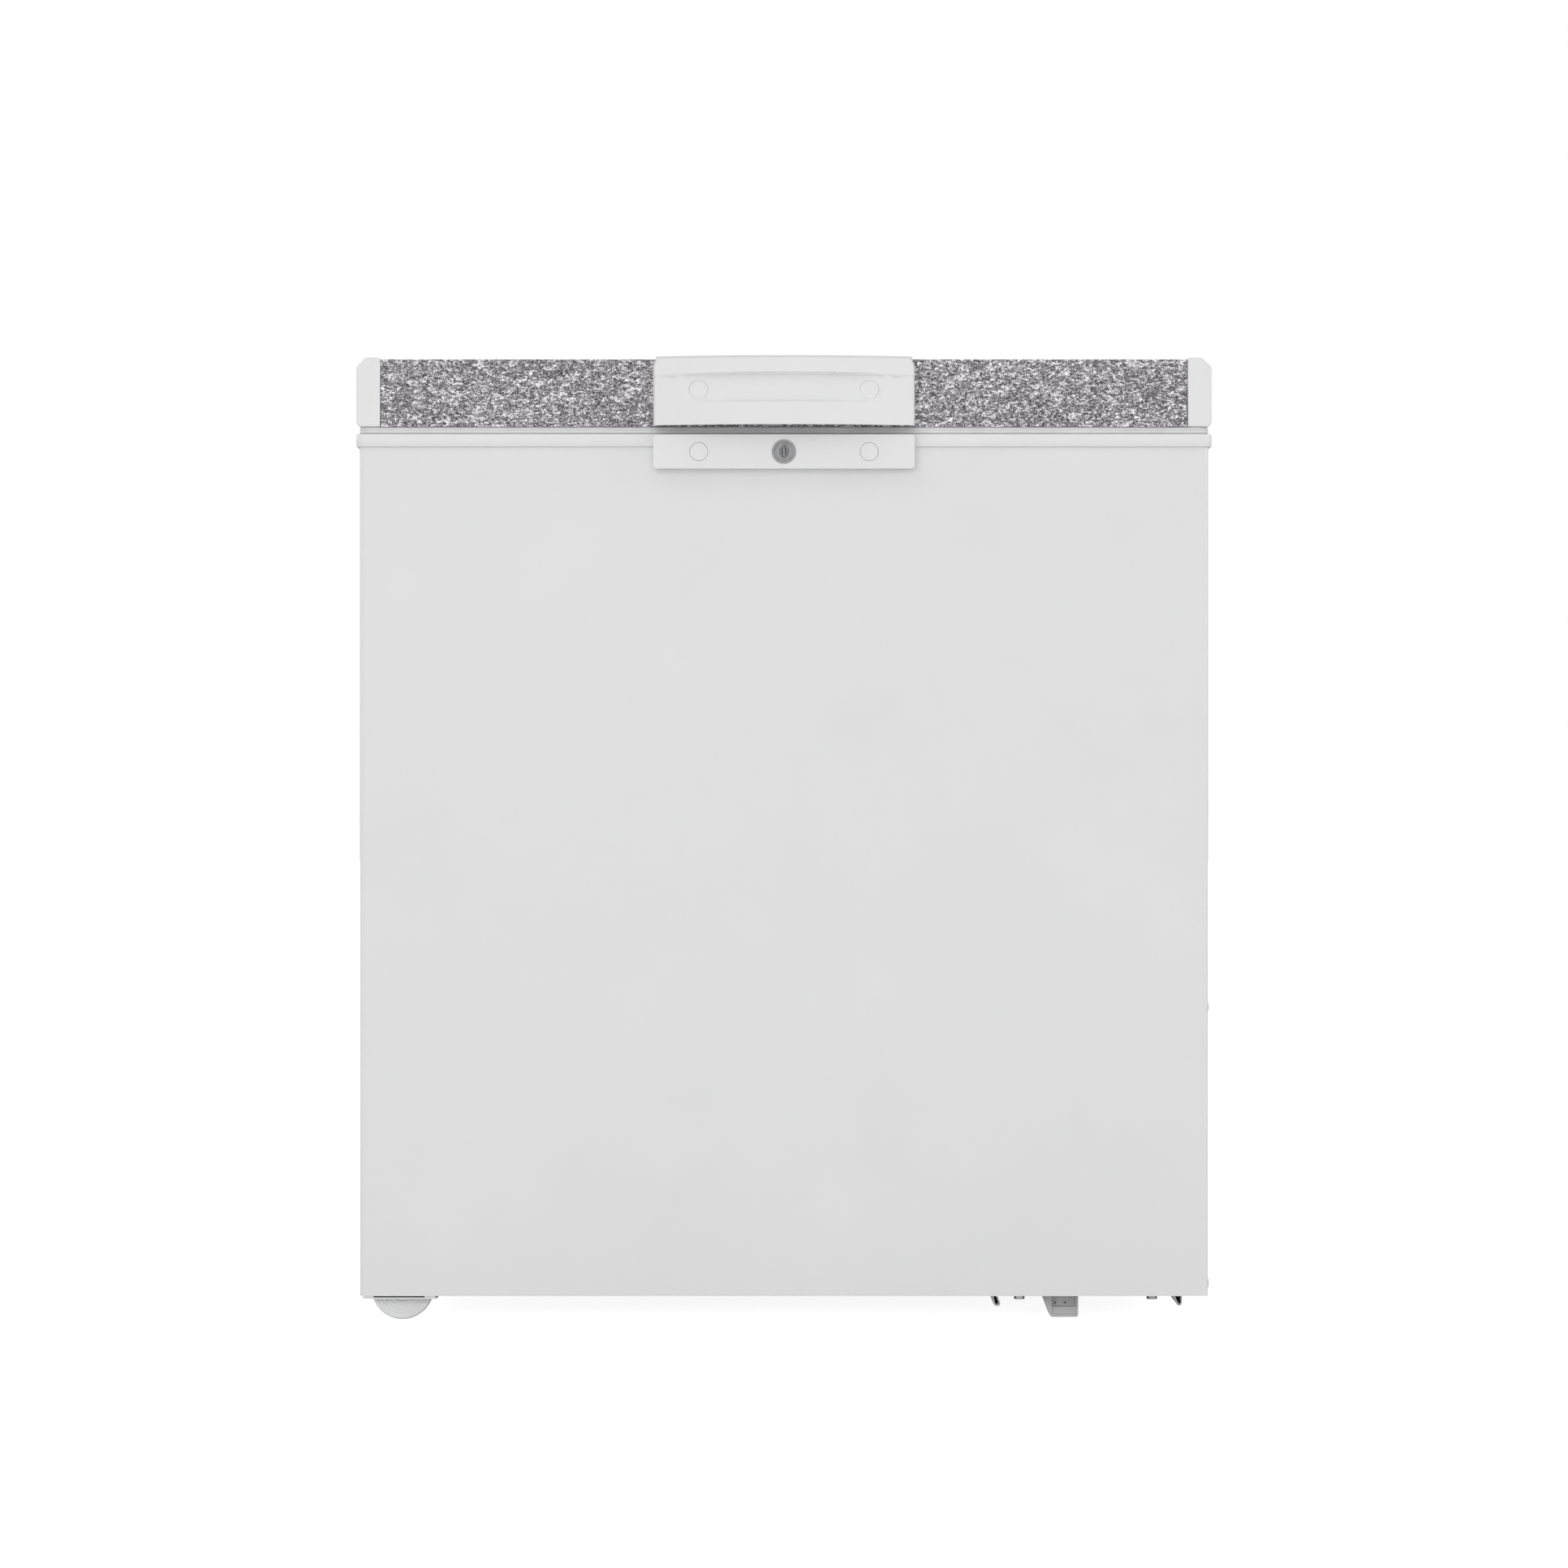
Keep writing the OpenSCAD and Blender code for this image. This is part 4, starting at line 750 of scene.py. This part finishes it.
def make_handle():
    """A bowed shell, open behind and below for the fingers, with a hole for each screw cap."""
    low, high = HANDLE_LOW, HANDLE_HIGH
    rows, columns = 122, 92
    back = FRONT_Y - 0.0002
    lap = high.y
    verts = []
    faces = []

    def add_row(points):
        start = len(verts)
        verts.extend(points)
        return list(range(start, len(verts)))

    grid = []
    for j in range(rows + 1):
        z = low.z + (high.z - low.z) * j / rows
        half = handle_half_width(z)
        across = [half * (2 * i / columns - 1) for i in range(columns + 1)]
        row = [(-half, back, z), (-half, (back * 2 + handle_front(half, z)) / 3, z)]
        row += [(x, handle_front(x, z), z) for x in across]
        row += [(half, (back * 2 + handle_front(half, z)) / 3, z), (half, back, z)]
        grid.append(add_row(row))
    for a, b in zip(grid, grid[1:]):
        for i in range(len(a) - 1):
            faces.append((a[i], a[i + 1], b[i + 1], b[i]))
    half = handle_half_width(high.z)
    top = grid[-1]
    last = top[1:-1]
    front = [verts[i] for i in last]
    for t in (0.25, 0.5, 0.75, 1.0):
        edge = back if t == 1.0 else None
        row = add_row([(x, y + ((back - y) * t), z) for x, y, z in front])
        if edge is not None:
            row[0], row[-1] = top[0], top[-1]
        for i in range(len(row) - 1):
            faces.append((last[i], last[i + 1], row[i + 1], row[i]))
        last = row
    row = add_row([(verts[i][0], lap, high.z) for i in last])
    for i in range(len(row) - 1):
        faces.append((last[i], last[i + 1], row[i + 1], row[i]))
    shell = tidy_mesh(new_object("handle_shell", verts, faces))
    bevel = shell.modifiers.new("edges", "BEVEL")
    bevel.width = 0.0014
    bevel.segments = 4
    bevel.limit_method = "ANGLE"
    bevel.angle_limit = math.radians(38)
    thick = shell.modifiers.new("wall", "SOLIDIFY")
    thick.thickness = 0.0016
    thick.offset = -1
    settle(shell)
    for x in (-CAP_X, CAP_X):
        cutter = revolve("cutter", [(0.0, 0.0), (0.00815, 0.0), (0.00815, 0.03), (0.0, 0.03)],
                         (x, low.y - 0.005, CAP_Z), "Y", 64)
        cut = shell.modifiers.new("hole", "BOOLEAN")
        cut.object = cutter
        cut.operation = "DIFFERENCE"
        cut.solver = "EXACT"
        settle(shell)
        bpy.data.objects.remove(cutter)
    parts = [shell]
    for x in (-CAP_X, CAP_X):
        seat = handle_front(x, CAP_Z)
        parts.append(revolve("boss", [(0.0082, 0.0016), (0.0104, 0.0016), (0.0104, back - seat),
                                      (0.0030, back - seat), (0.0030, 0.012), (0.0082, 0.012), (0.0082, 0.0016)],
                             (x, seat, CAP_Z), "Y", 48))
    piece = joined("handle_cover", parts)
    even = piece.modifiers.new("shading", "WEIGHTED_NORMAL")
    even.keep_sharp = False
    return hand_over(piece, "lid", "white_plastic", "handle")


def make_handle_caps():
    """Two round caps that follow the handle's surface, a hair below it, with a rounded edge."""
    parts = []
    steps = 64
    for cx in (-CAP_X, CAP_X):
        rings = []
        for r, back in ((0.00812, 0.004), (0.00812, 0.0004), (0.0080, 0.00025), (0.0078, 0.00006), (0.0070, 0.0),
                        (0.005, 0.0), (0.003, 0.0), (0.0002, 0.0)):
            points = []
            for k in range(steps):
                a = 2 * math.pi * k / steps
                x, z = cx + r * math.cos(a), CAP_Z + r * math.sin(a)
                points.append(Vector((x, handle_front(x, z) + back, z)))
            rings.append(points)
        parts.append(loft("cap", rings, cap_start=True, cap_end=True))
    return hand_over(joined("handle_caps", parts), "lid", "white_plastic", "handle_screw_covers")


# ---------- lock ----------

def make_lock():
    """The lock's turning barrel: a stepped face, a pointed-oval ring and a key slot with its bright shutter."""
    low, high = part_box("lock_barrel")
    x, z = (low.x + high.x) / 2, (low.z + high.z) / 2
    face = low.y
    r = (high.x - low.x) / 2
    depth = high.y - low.y
    body = revolve("body", [(0.0, 0.0007), (r - 0.0024, 0.0007), (r - 0.0019, 0.0010), (r - 0.0016, 0.0010),
                            (r - 0.0013, 0.0002), (r - 0.0011, 0.0), (r - 0.0006, 0.0),
                            (r - 0.0002, 0.0002), (r, 0.0008), (r, 0.009), (0.003, 0.009), (0.003, depth),
                            (0.0, depth)], (x, face, z), "Y", 96)
    slot = rounded_slot("slot", x, z, 0.0011, 0.0052, face - 0.001, face + 0.004)
    cut = body.modifiers.new("key", "BOOLEAN")
    cut.object = slot
    cut.operation = "DIFFERENCE"
    cut.solver = "EXACT"
    settle(body)
    bpy.data.objects.remove(slot)
    shutter = rounded_slot("shutter", x, z, 0.00042, 0.0042, face + 0.0003, face + 0.004)
    parts = [body, shutter]
    for tall, wide, wire in ((0.0062, 0.0050, 0.00045), (0.0048, 0.0030, 0.0003)):
        bow = (tall ** 2 - wide ** 2) / (2 * wide)
        sweep = math.asin(tall / (wide + bow))
        arc = []
        for s in (1, -1):
            for k in range(24):
                a = s * (-sweep + 2 * sweep * k / 24)
                arc.append((x + s * ((wide + bow) * math.cos(a) - bow), face + 0.0003,
                            z + (wide + bow) * math.sin(a)))
        parts.append(wires("oval", [arc], wire, 8, cyclic=True))
    piece = joined("lock_core", parts)
    even = piece.modifiers.new("shading", "WEIGHTED_NORMAL")
    even.keep_sharp = False
    return hand_over(piece, "lock", "lock_metal", "lock_barrel")


def rounded_slot(name, x, z, half_w, half_h, y0, y1):
    """A bar along Y with a slot-shaped section."""
    section = ring((-half_w, -half_h), (half_w, half_h), half_w * 0.95, 0, 6)
    rings = [[Vector((x + p.x, y, z + p.y)) for p in section] for y in (y0, y1)]
    return loft(name, rings, cap_start=True, cap_end=True)


# ---------- rollers ----------

def make_roller(node, body):
    """A moulded roller: rings round its hub on both faces, a crowned tread with a fine seam."""
    low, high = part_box(node)
    centre = (low + high) / 2
    r = (high.z - low.z) / 2
    half = (high.y - low.y) / 2
    face = [(0.00305, -half + 0.0006), (0.0034, -half + 0.0002), (0.0052, -half), (0.0062, -half + 0.0004)]
    for k in range(6):
        start = 0.0068 + 0.0031 * k
        face += [(start, -half + 0.0016), (start + 0.0012, -half + 0.0017), (start + 0.0016, -half + 0.0007),
                 (start + 0.0024, -half + 0.0006)]
    face += [(r - 0.0022, -half + 0.0006), (r - 0.0012, -half + 0.0009), (r - 0.0004, -half + 0.0018),
             (r - 0.0001, -half + 0.003)]
    tread = [(r, -0.004), (r, -0.0005), (r - 0.0002, -0.0002)]
    half_profile = face + tread
    profile = half_profile + [(a, -h) for a, h in reversed(half_profile)] + [half_profile[0]]
    piece = revolve(node + "_moulding", profile, centre, "Y", 128)
    return hand_over(piece, body, "roller_plastic", node)


def make_painted_slot_shadow():
    """A black strip in the gap between the roller's housing and the cabinet: painted shadow, a dark piece that stands
    in for the shade in that gap.
    """
    low, high = Vector((-0.3625, -0.3215, 0.0208)), Vector((-0.3180, -0.3125, 0.02215))
    section = ring((low.x, low.z), (high.x, high.z), 0.0004, 0, 4)
    rings = [[Vector((p.x, y, p.y)) for p in section] for y in (low.y, high.y)]
    # The black rubber strip is painted shade: a dark piece where the gap is only in shadow.
    return hand_over(loft("painted_slot_shadow", rings, cap_start=True, cap_end=True), "cabinet", "black_rubber")


# ---------- basket ----------

def make_basket():
    """A basket of round wires: loops both ways, a thick rim, and a hook rail at the front and rear."""
    low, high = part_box("basket")
    wire = 0.0015
    rim = 0.0024
    y0, y1 = low.y + 0.0115, high.y - 0.0115
    x0, x1 = low.x + wire, high.x - wire
    top = high.z - rim
    floor_z = low.z + wire
    bend = 0.008
    columns, rows, rings = 10, 24, 8
    paths = []
    for i in range(1, columns):
        x = x0 + (x1 - x0) * i / columns
        paths.append(rounded_path([(x, low.y + wire, top), (x, y0, top), (x, y0, floor_z), (x, y1, floor_z),
                                   (x, y1, top), (x, high.y - wire, top)], bend))
    for j in range(1, rows):
        y = y0 + (y1 - y0) * j / rows
        paths.append(rounded_path([(x0, y, top), (x0, y, floor_z + 0.003), (x1, y, floor_z + 0.003), (x1, y, top)],
                                  bend))
    thin = wires("thin", paths, wire, 8)
    hoops = []
    for k in range(1, rings):
        z = floor_z + 0.004 + (top - floor_z - 0.004) * (k / rings)
        hoops.append(ring((x0 + 0.003, y0 + 0.003), (x1 - 0.003, y1 - 0.003), bend, z, 5))
    bands = wires("bands", hoops, wire, 8, cyclic=True)
    rims = [ring((x0 + 0.001, y0), (x1 - 0.001, y1), bend, top, 6),
            ring((x0 + 0.001, low.y + rim), (x1 - 0.001, high.y - rim), bend, top, 6)]
    rails = wires("rails", rims, rim, 10, cyclic=True)
    parts = [thin, bands, rails]
    for node in ("basket_handle_front", "basket_handle_rear"):
        bail_low, bail_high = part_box(node)
        y = (bail_low.y + bail_high.y) / 2
        z = bail_high.z - 0.0045
        x = (bail_low.x + bail_high.x) / 2
        edge = y0 if y < 0 else y1
        ends = [(x - 0.063, edge, top), (x - 0.063, y, z), (x + 0.063, y, z), (x + 0.063, edge, top)]
        parts.append(wires("bar", [rounded_path(ends, 0.003)], 0.0019, 10))
    return hand_over(joined("wire_basket", parts), "basket", "coated_wire", "basket")


def make_bail(node, body):
    """A swinging bail: two eyes on the bar, wire legs and a ribbed plastic grip."""
    low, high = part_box(node)
    y = (low.y + high.y) / 2
    eye = 0.0045
    z = high.z - eye
    z_grip = low.z + eye
    xm = (low.x + high.x) / 2
    reach = (high.x - low.x) / 2 - 0.002
    parts = []
    for s in (-1, 1):
        parts.append(revolve("eye", [(0.0021, -0.002), (0.0040, -0.002), (eye, -0.0012), (eye, 0.0012),
                                     (0.0040, 0.002), (0.0021, 0.002), (0.0021, -0.002)],
                             (xm + s * reach, y, z), "X", 32))
    legs = rounded_path([(xm - reach, y, z - 0.0035), (xm - reach, y, z_grip), (xm + reach, y, z_grip),
                         (xm + reach, y, z - 0.0035)], 0.006)
    parts.append(wires("legs", [legs], 0.0018, 10))
    grip = [(0.0019, -0.0400), (0.0036, -0.0400), (0.0042, -0.0392)]
    for k in range(13):
        at = -0.036 + 0.006 * k
        grip += [(0.0045, at - 0.002), (0.0045, at + 0.002), (0.0040, at + 0.0026), (0.0040, at + 0.0034)]
    grip = grip[:-2] + [(0.0042, 0.0392), (0.0036, 0.0400), (0.0019, 0.0400)]
    parts.append(revolve("grip", grip, (xm, y, z_grip), "X", 32))
    return hand_over(joined(node + "_wire", parts), body, "coated_wire", node)


# ---------- hinges and fasteners ----------

def make_springs():
    """Two torsion springs of round wire, coiled on the hinge pins."""
    low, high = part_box("hinge_pins")
    y, z = (low.y + high.y) / 2, (low.z + high.z) / 2
    spring_low, spring_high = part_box("hinge_springs")
    coil_r = (spring_high.z - spring_low.z) / 2 - 0.0009
    turns, steps, length = 12, 20, 0.028
    paths = []
    for x in (-0.225, 0.225):
        paths.append([(x - length / 2 + length * i / (turns * steps),
                       y + coil_r * math.cos(2 * math.pi * i / steps),
                       z + coil_r * math.sin(2 * math.pi * i / steps)) for i in range(turns * steps + 1)])
    return hand_over(wires("torsion_springs", paths, 0.0009, 8), "cabinet", "spring_steel", "hinge_springs")


def screw_head(centre, axis, sign, radius, height):
    """A pan head with a cross recess; sign says which way along the axis it faces."""
    rings = []
    steps = 48
    levels = [1.0, 1.0, 0.97, 0.9, 0.8, 0.7, 0.6, 0.5, 0.4, 0.3, 0.2, 0.1, 0.01]
    for i, share in enumerate(levels):
        points = []
        for k in range(steps):
            a = 2 * math.pi * k / steps
            u, v = share * math.cos(a), share * math.sin(a)
            dome = 0.0 if i == 0 else 0.55 + 0.45 * math.sqrt(max(1 - share ** 2, 0))
            arm = min(abs(u), abs(v))
            cross = smooth((0.16 - arm) / 0.06) * smooth((0.62 - share) / 0.12)
            h = height * (dome - 0.55 * cross * (1 - 0.4 * share))
            points.append((radius * u, radius * v, sign * h))
        rings.append(points)
    turn = {"X": Matrix.Rotation(math.pi / 2, 4, "Y"), "Y": Matrix.Rotation(-math.pi / 2, 4, "X")}[axis]
    place = Matrix.Translation(Vector(centre)) @ turn
    return loft("head", [[place @ Vector(p) for p in points] for points in rings], cap_start=True, cap_end=True)


def make_screws():
    """Cross-head screws at the hinges, the lid and the grille. Their shanks are inside the sheets."""
    hinge_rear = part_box("hinge_screws")[1].y
    heads = [screw_head((h + x, hinge_rear - 0.0024, z), "Y", 1, 0.004, 0.0024)
             for h in (-0.225, 0.225) for x in (-0.012, 0.012) for z in (0.668, 0.740)]
    hand_over(joined("hinge_bracket_screws", heads), "cabinet", "bolt_steel", "hinge_screws")
    lid_low, lid_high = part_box("lid_screws")
    z = lid_high.z - 0.004
    heads = [screw_head((h + x, lid_high.y - 0.0023, z), "Y", 1, 0.004, 0.0023)
             for h in (-0.225, 0.225) for x in (-0.010, 0.010)]
    heads += [screw_head((x, lid_low.y + 0.003, CAP_Z), "Y", -1, 0.004, 0.003) for x in (-CAP_X, CAP_X)]
    hand_over(joined("lid_fixing_screws", heads), "lid", "bolt_steel", "lid_screws")
    low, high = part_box("grille_screws")
    heads = [screw_head((high.x - 0.0013, y, z), "X", 1, 0.004, 0.0013)
             for y in (low.y + 0.004, high.y - 0.004) for z in (low.z + 0.004, high.z - 0.004)]
    hand_over(joined("grille_fixing_screws", heads), "cabinet", "bolt_steel", "grille_screws")


# ---------- controls ----------

def make_lamp(node, slot):
    """A domed lens in a thin collar."""
    low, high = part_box(node)
    centre = ((low.x + high.x) / 2, (low.y + high.y) / 2, (low.z + high.z) / 2)
    half = (high.x - low.x) / 2
    r = (high.z - low.z) / 2
    profile = [(0.0, -half), (r, -half), (r, half - 0.0014)]
    profile += [(r * math.cos(a), half - 0.0014 + 0.0014 * math.sin(a))
                for a in (math.radians(10 * k) for k in range(1, 9))]
    profile.append((0.0, half))
    return hand_over(revolve(node + "_lens", profile, centre, "X", 48), "cabinet", slot, node)


def make_grille():
    """The side cover: two rows of air slots, the window for the controls, and a rim behind that stiffens it."""
    low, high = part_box("side_grille")
    panel_low, panel_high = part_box("control_panel")
    flange = 0.004
    sheet = 0.0015
    slot_w, slot_h, pitch = 0.005, 0.096, 0.013
    holes = [(-0.070 + pitch * i, z, -0.070 + pitch * i + slot_w, z + slot_h)
             for i in range(28) for z in (0.050, 0.160)]
    holes.append((panel_low.y + flange, panel_low.z + flange, panel_high.y - flange, panel_high.z - flange))
    ys = sorted({low.y, high.y} | {round(v, 5) for hole in holes for v in (hole[0], hole[2])})
    zs = sorted({low.z, high.z} | {round(v, 5) for hole in holes for v in (hole[1], hole[3])})

    def solid(y, z):
        return not any(a < y < c and b < z < d for a, b, c, d in holes)

    bm = bmesh.new()
    corners = {}

    def corner(y, z):
        if (y, z) not in corners:
            corners[y, z] = bm.verts.new((high.x, y, z))
        return corners[y, z]

    for y0, y1 in zip(ys, ys[1:]):
        for z0, z1 in zip(zs, zs[1:]):
            if solid((y0 + y1) / 2, (z0 + z1) / 2):
                bm.faces.new((corner(y0, z0), corner(y1, z0), corner(y1, z1), corner(y0, z1)))
    ends = [corners[y, z] for y in (ys[0], ys[-1]) for z in (zs[0], zs[-1])]
    bmesh.ops.bevel(bm, geom=ends, offset=0.006, segments=6, profile=0.5, affect="VERTICES")
    mesh = bpy.data.meshes.new("cover")
    bm.to_mesh(mesh)
    bm.free()
    cover = bpy.data.objects.new("cover", mesh)
    bpy.context.scene.collection.objects.link(cover)
    thick = cover.modifiers.new("sheet", "SOLIDIFY")
    thick.thickness = sheet
    thick.offset = -1
    soften(cover, 0.0004, 2)
    settle(cover)
    rim_low, rim_high, wall = (-0.108, 0.038), (0.298, 0.268), 0.002
    outer = ring(rim_low, rim_high, 0.003, 0, 4)
    inner = inset_ring(rim_low, rim_high, wall, 0.0015, 0, 4)
    x0, x1 = low.x, high.x - sheet
    rings = [[Vector((x, p.x, p.y)) for p in points] for points, x in
             ((outer, x0), (outer, x1), (inner, x1), (inner, x0))]
    piece = joined("slotted_cover", [cover, loft("rim", rings, closed=True)])
    return hand_over(piece, "cabinet", "white_plastic", "side_grille")


def make_dial_marks():
    """Raised marks round the knob that grow from the warm end to the cold end."""
    low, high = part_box("thermostat_knob")
    y, z = (low.y + high.y) / 2, (low.z + high.z) / 2
    x = 0.362 + 0.002
    count, inner = 7, 0.0205
    parts = []
    for k in range(count):
        a = math.radians(135 + 270 * k / (count - 1))
        length, half_w = 0.0020 + 0.0004 * k, 0.0004 + 0.0001 * k
        out, side = Vector((0, math.sin(a), math.cos(a))), Vector((0, math.cos(a), -math.sin(a)))
        start = Vector((x, y, z)) + out * inner
        corners = [start - side * half_w, start + side * half_w, start + side * half_w + out * length,
                   start - side * half_w + out * length]
        rings = [[c + Vector((d, 0, 0)) for c in corners] for d in (-0.0001, 0.00025)]
        parts.append(loft("mark", rings, cap_start=True, cap_end=True))
    piece = joined("dial_marks", parts)
    return hand_over(piece, "cabinet", "grey_plastic")


def make_pointer():
    """The knob's inlaid pointer line."""
    low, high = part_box("thermostat_knob")
    y, z = (low.y + high.y) / 2, (low.z + high.z) / 2
    bar = rounded_slot("pointer", y, z + 0.009, 0.0008, 0.0045, 0, 0.0003)
    bar.data.transform(Matrix.Translation((high.x - 0.00005, 0, 0)) @ Matrix(((0, 1, 0, 0), (1, 0, 0, 0),
                                                                              (0, 0, 1, 0), (0, 0, 0, 1))))
    tidy_mesh(bar)
    return hand_over(bar, "knob", "grey_plastic")


# ---------- the kept CAD nodes, with the width of their edge rounding ----------

KEPT = {
    "outer_wrapper": ("white_skin", 0.00035), "rear_panel": ("zinc_steel", 0.0002),
    "base_panel": ("zinc_steel", 0.0002), "machine_room_wall": ("zinc_steel", 0.0002),
    "cabinet_foam": ("foam", 0.001), "evaporator_tube": ("evaporator_metal", 0),
    "condenser_tube": ("condenser_steel", 0), "compressor": ("black_paint", 0.0008),
    "compressor_grommets": ("black_rubber", 0.0006), "compressor_bolts": ("bolt_steel", 0.0004),
    "compressor_tray": ("white_skin", 0.0004), "relay_cover": ("black_plastic", 0.0015),
    "filter_drier": ("copper", 0.0004), "capillary_tube": ("copper", 0), "suction_tube": ("copper", 0),
    "discharge_tube": ("copper", 0), "thermostat": ("grey_plastic", 0.0008),
    "thermostat_sensor": ("copper", 0), "control_panel": ("white_plastic", 0.0004),
    "thermostat_knob": ("knob_plastic", 0.0007), "fast_freeze_switch": ("switch_orange", 0.0006),
    "rear_cover": ("grey_panel", 0),
    "mains_gland": ("black_plastic", 0.0006), "drain_tube": ("white_plastic", 0.0004),
    "drain_plug": ("grey_plastic", 0.0005), "lock_plate": ("white_plastic", 0.0008),
    "plate_screw_covers": ("white_plastic", 0.0004), "plate_screws": ("bolt_steel", 0.0003),
    "lock_housing": ("lock_metal", 0.0004), "lock_cam": ("zinc_steel", 0.0003),
    "roller_housings": ("white_plastic", 0.0004), "roller_axles": ("zinc_steel", 0.0003),
    "feet": ("white_plastic", 0.0006), "lid_top": ("speckled_laminate", 0.0004),
    "lid_foam": ("foam", 0.0006), "lock_keeper": ("zinc_steel", 0.0003),
    "hinge_brackets": ("zinc_steel", 0.0004), "hinge_leaves": ("zinc_steel", 0.0004),
    "hinge_pins": ("zinc_steel", 0.0003), "hinge_covers": ("white_plastic", 0.0006),
}


def dress_kept_nodes():
    for node, (slot, width) in KEPT.items():
        paint(NODES[node], slot)
        if width:
            dress(node, width)
        else:
            for polygon in NODES[node].data.polygons:
                polygon.use_smooth = True


make_camera()
make_stage()
dress_kept_nodes()
make_rim_frame()
make_gasket()
make_liner()
make_inner_panel()
make_trims()
make_handle()
make_handle_caps()
make_lock()
make_roller("roller_front", "front_roller")
make_roller("roller_rear", "rear_roller")
make_painted_slot_shadow()
make_basket()
make_bail("basket_handle_front", "front_bail")
make_bail("basket_handle_rear", "rear_bail")
make_springs()
make_screws()
make_lamp("power_lamp", "green_lens")
make_lamp("alarm_lamp", "red_lens")
make_grille()
make_dial_marks()
make_pointer()
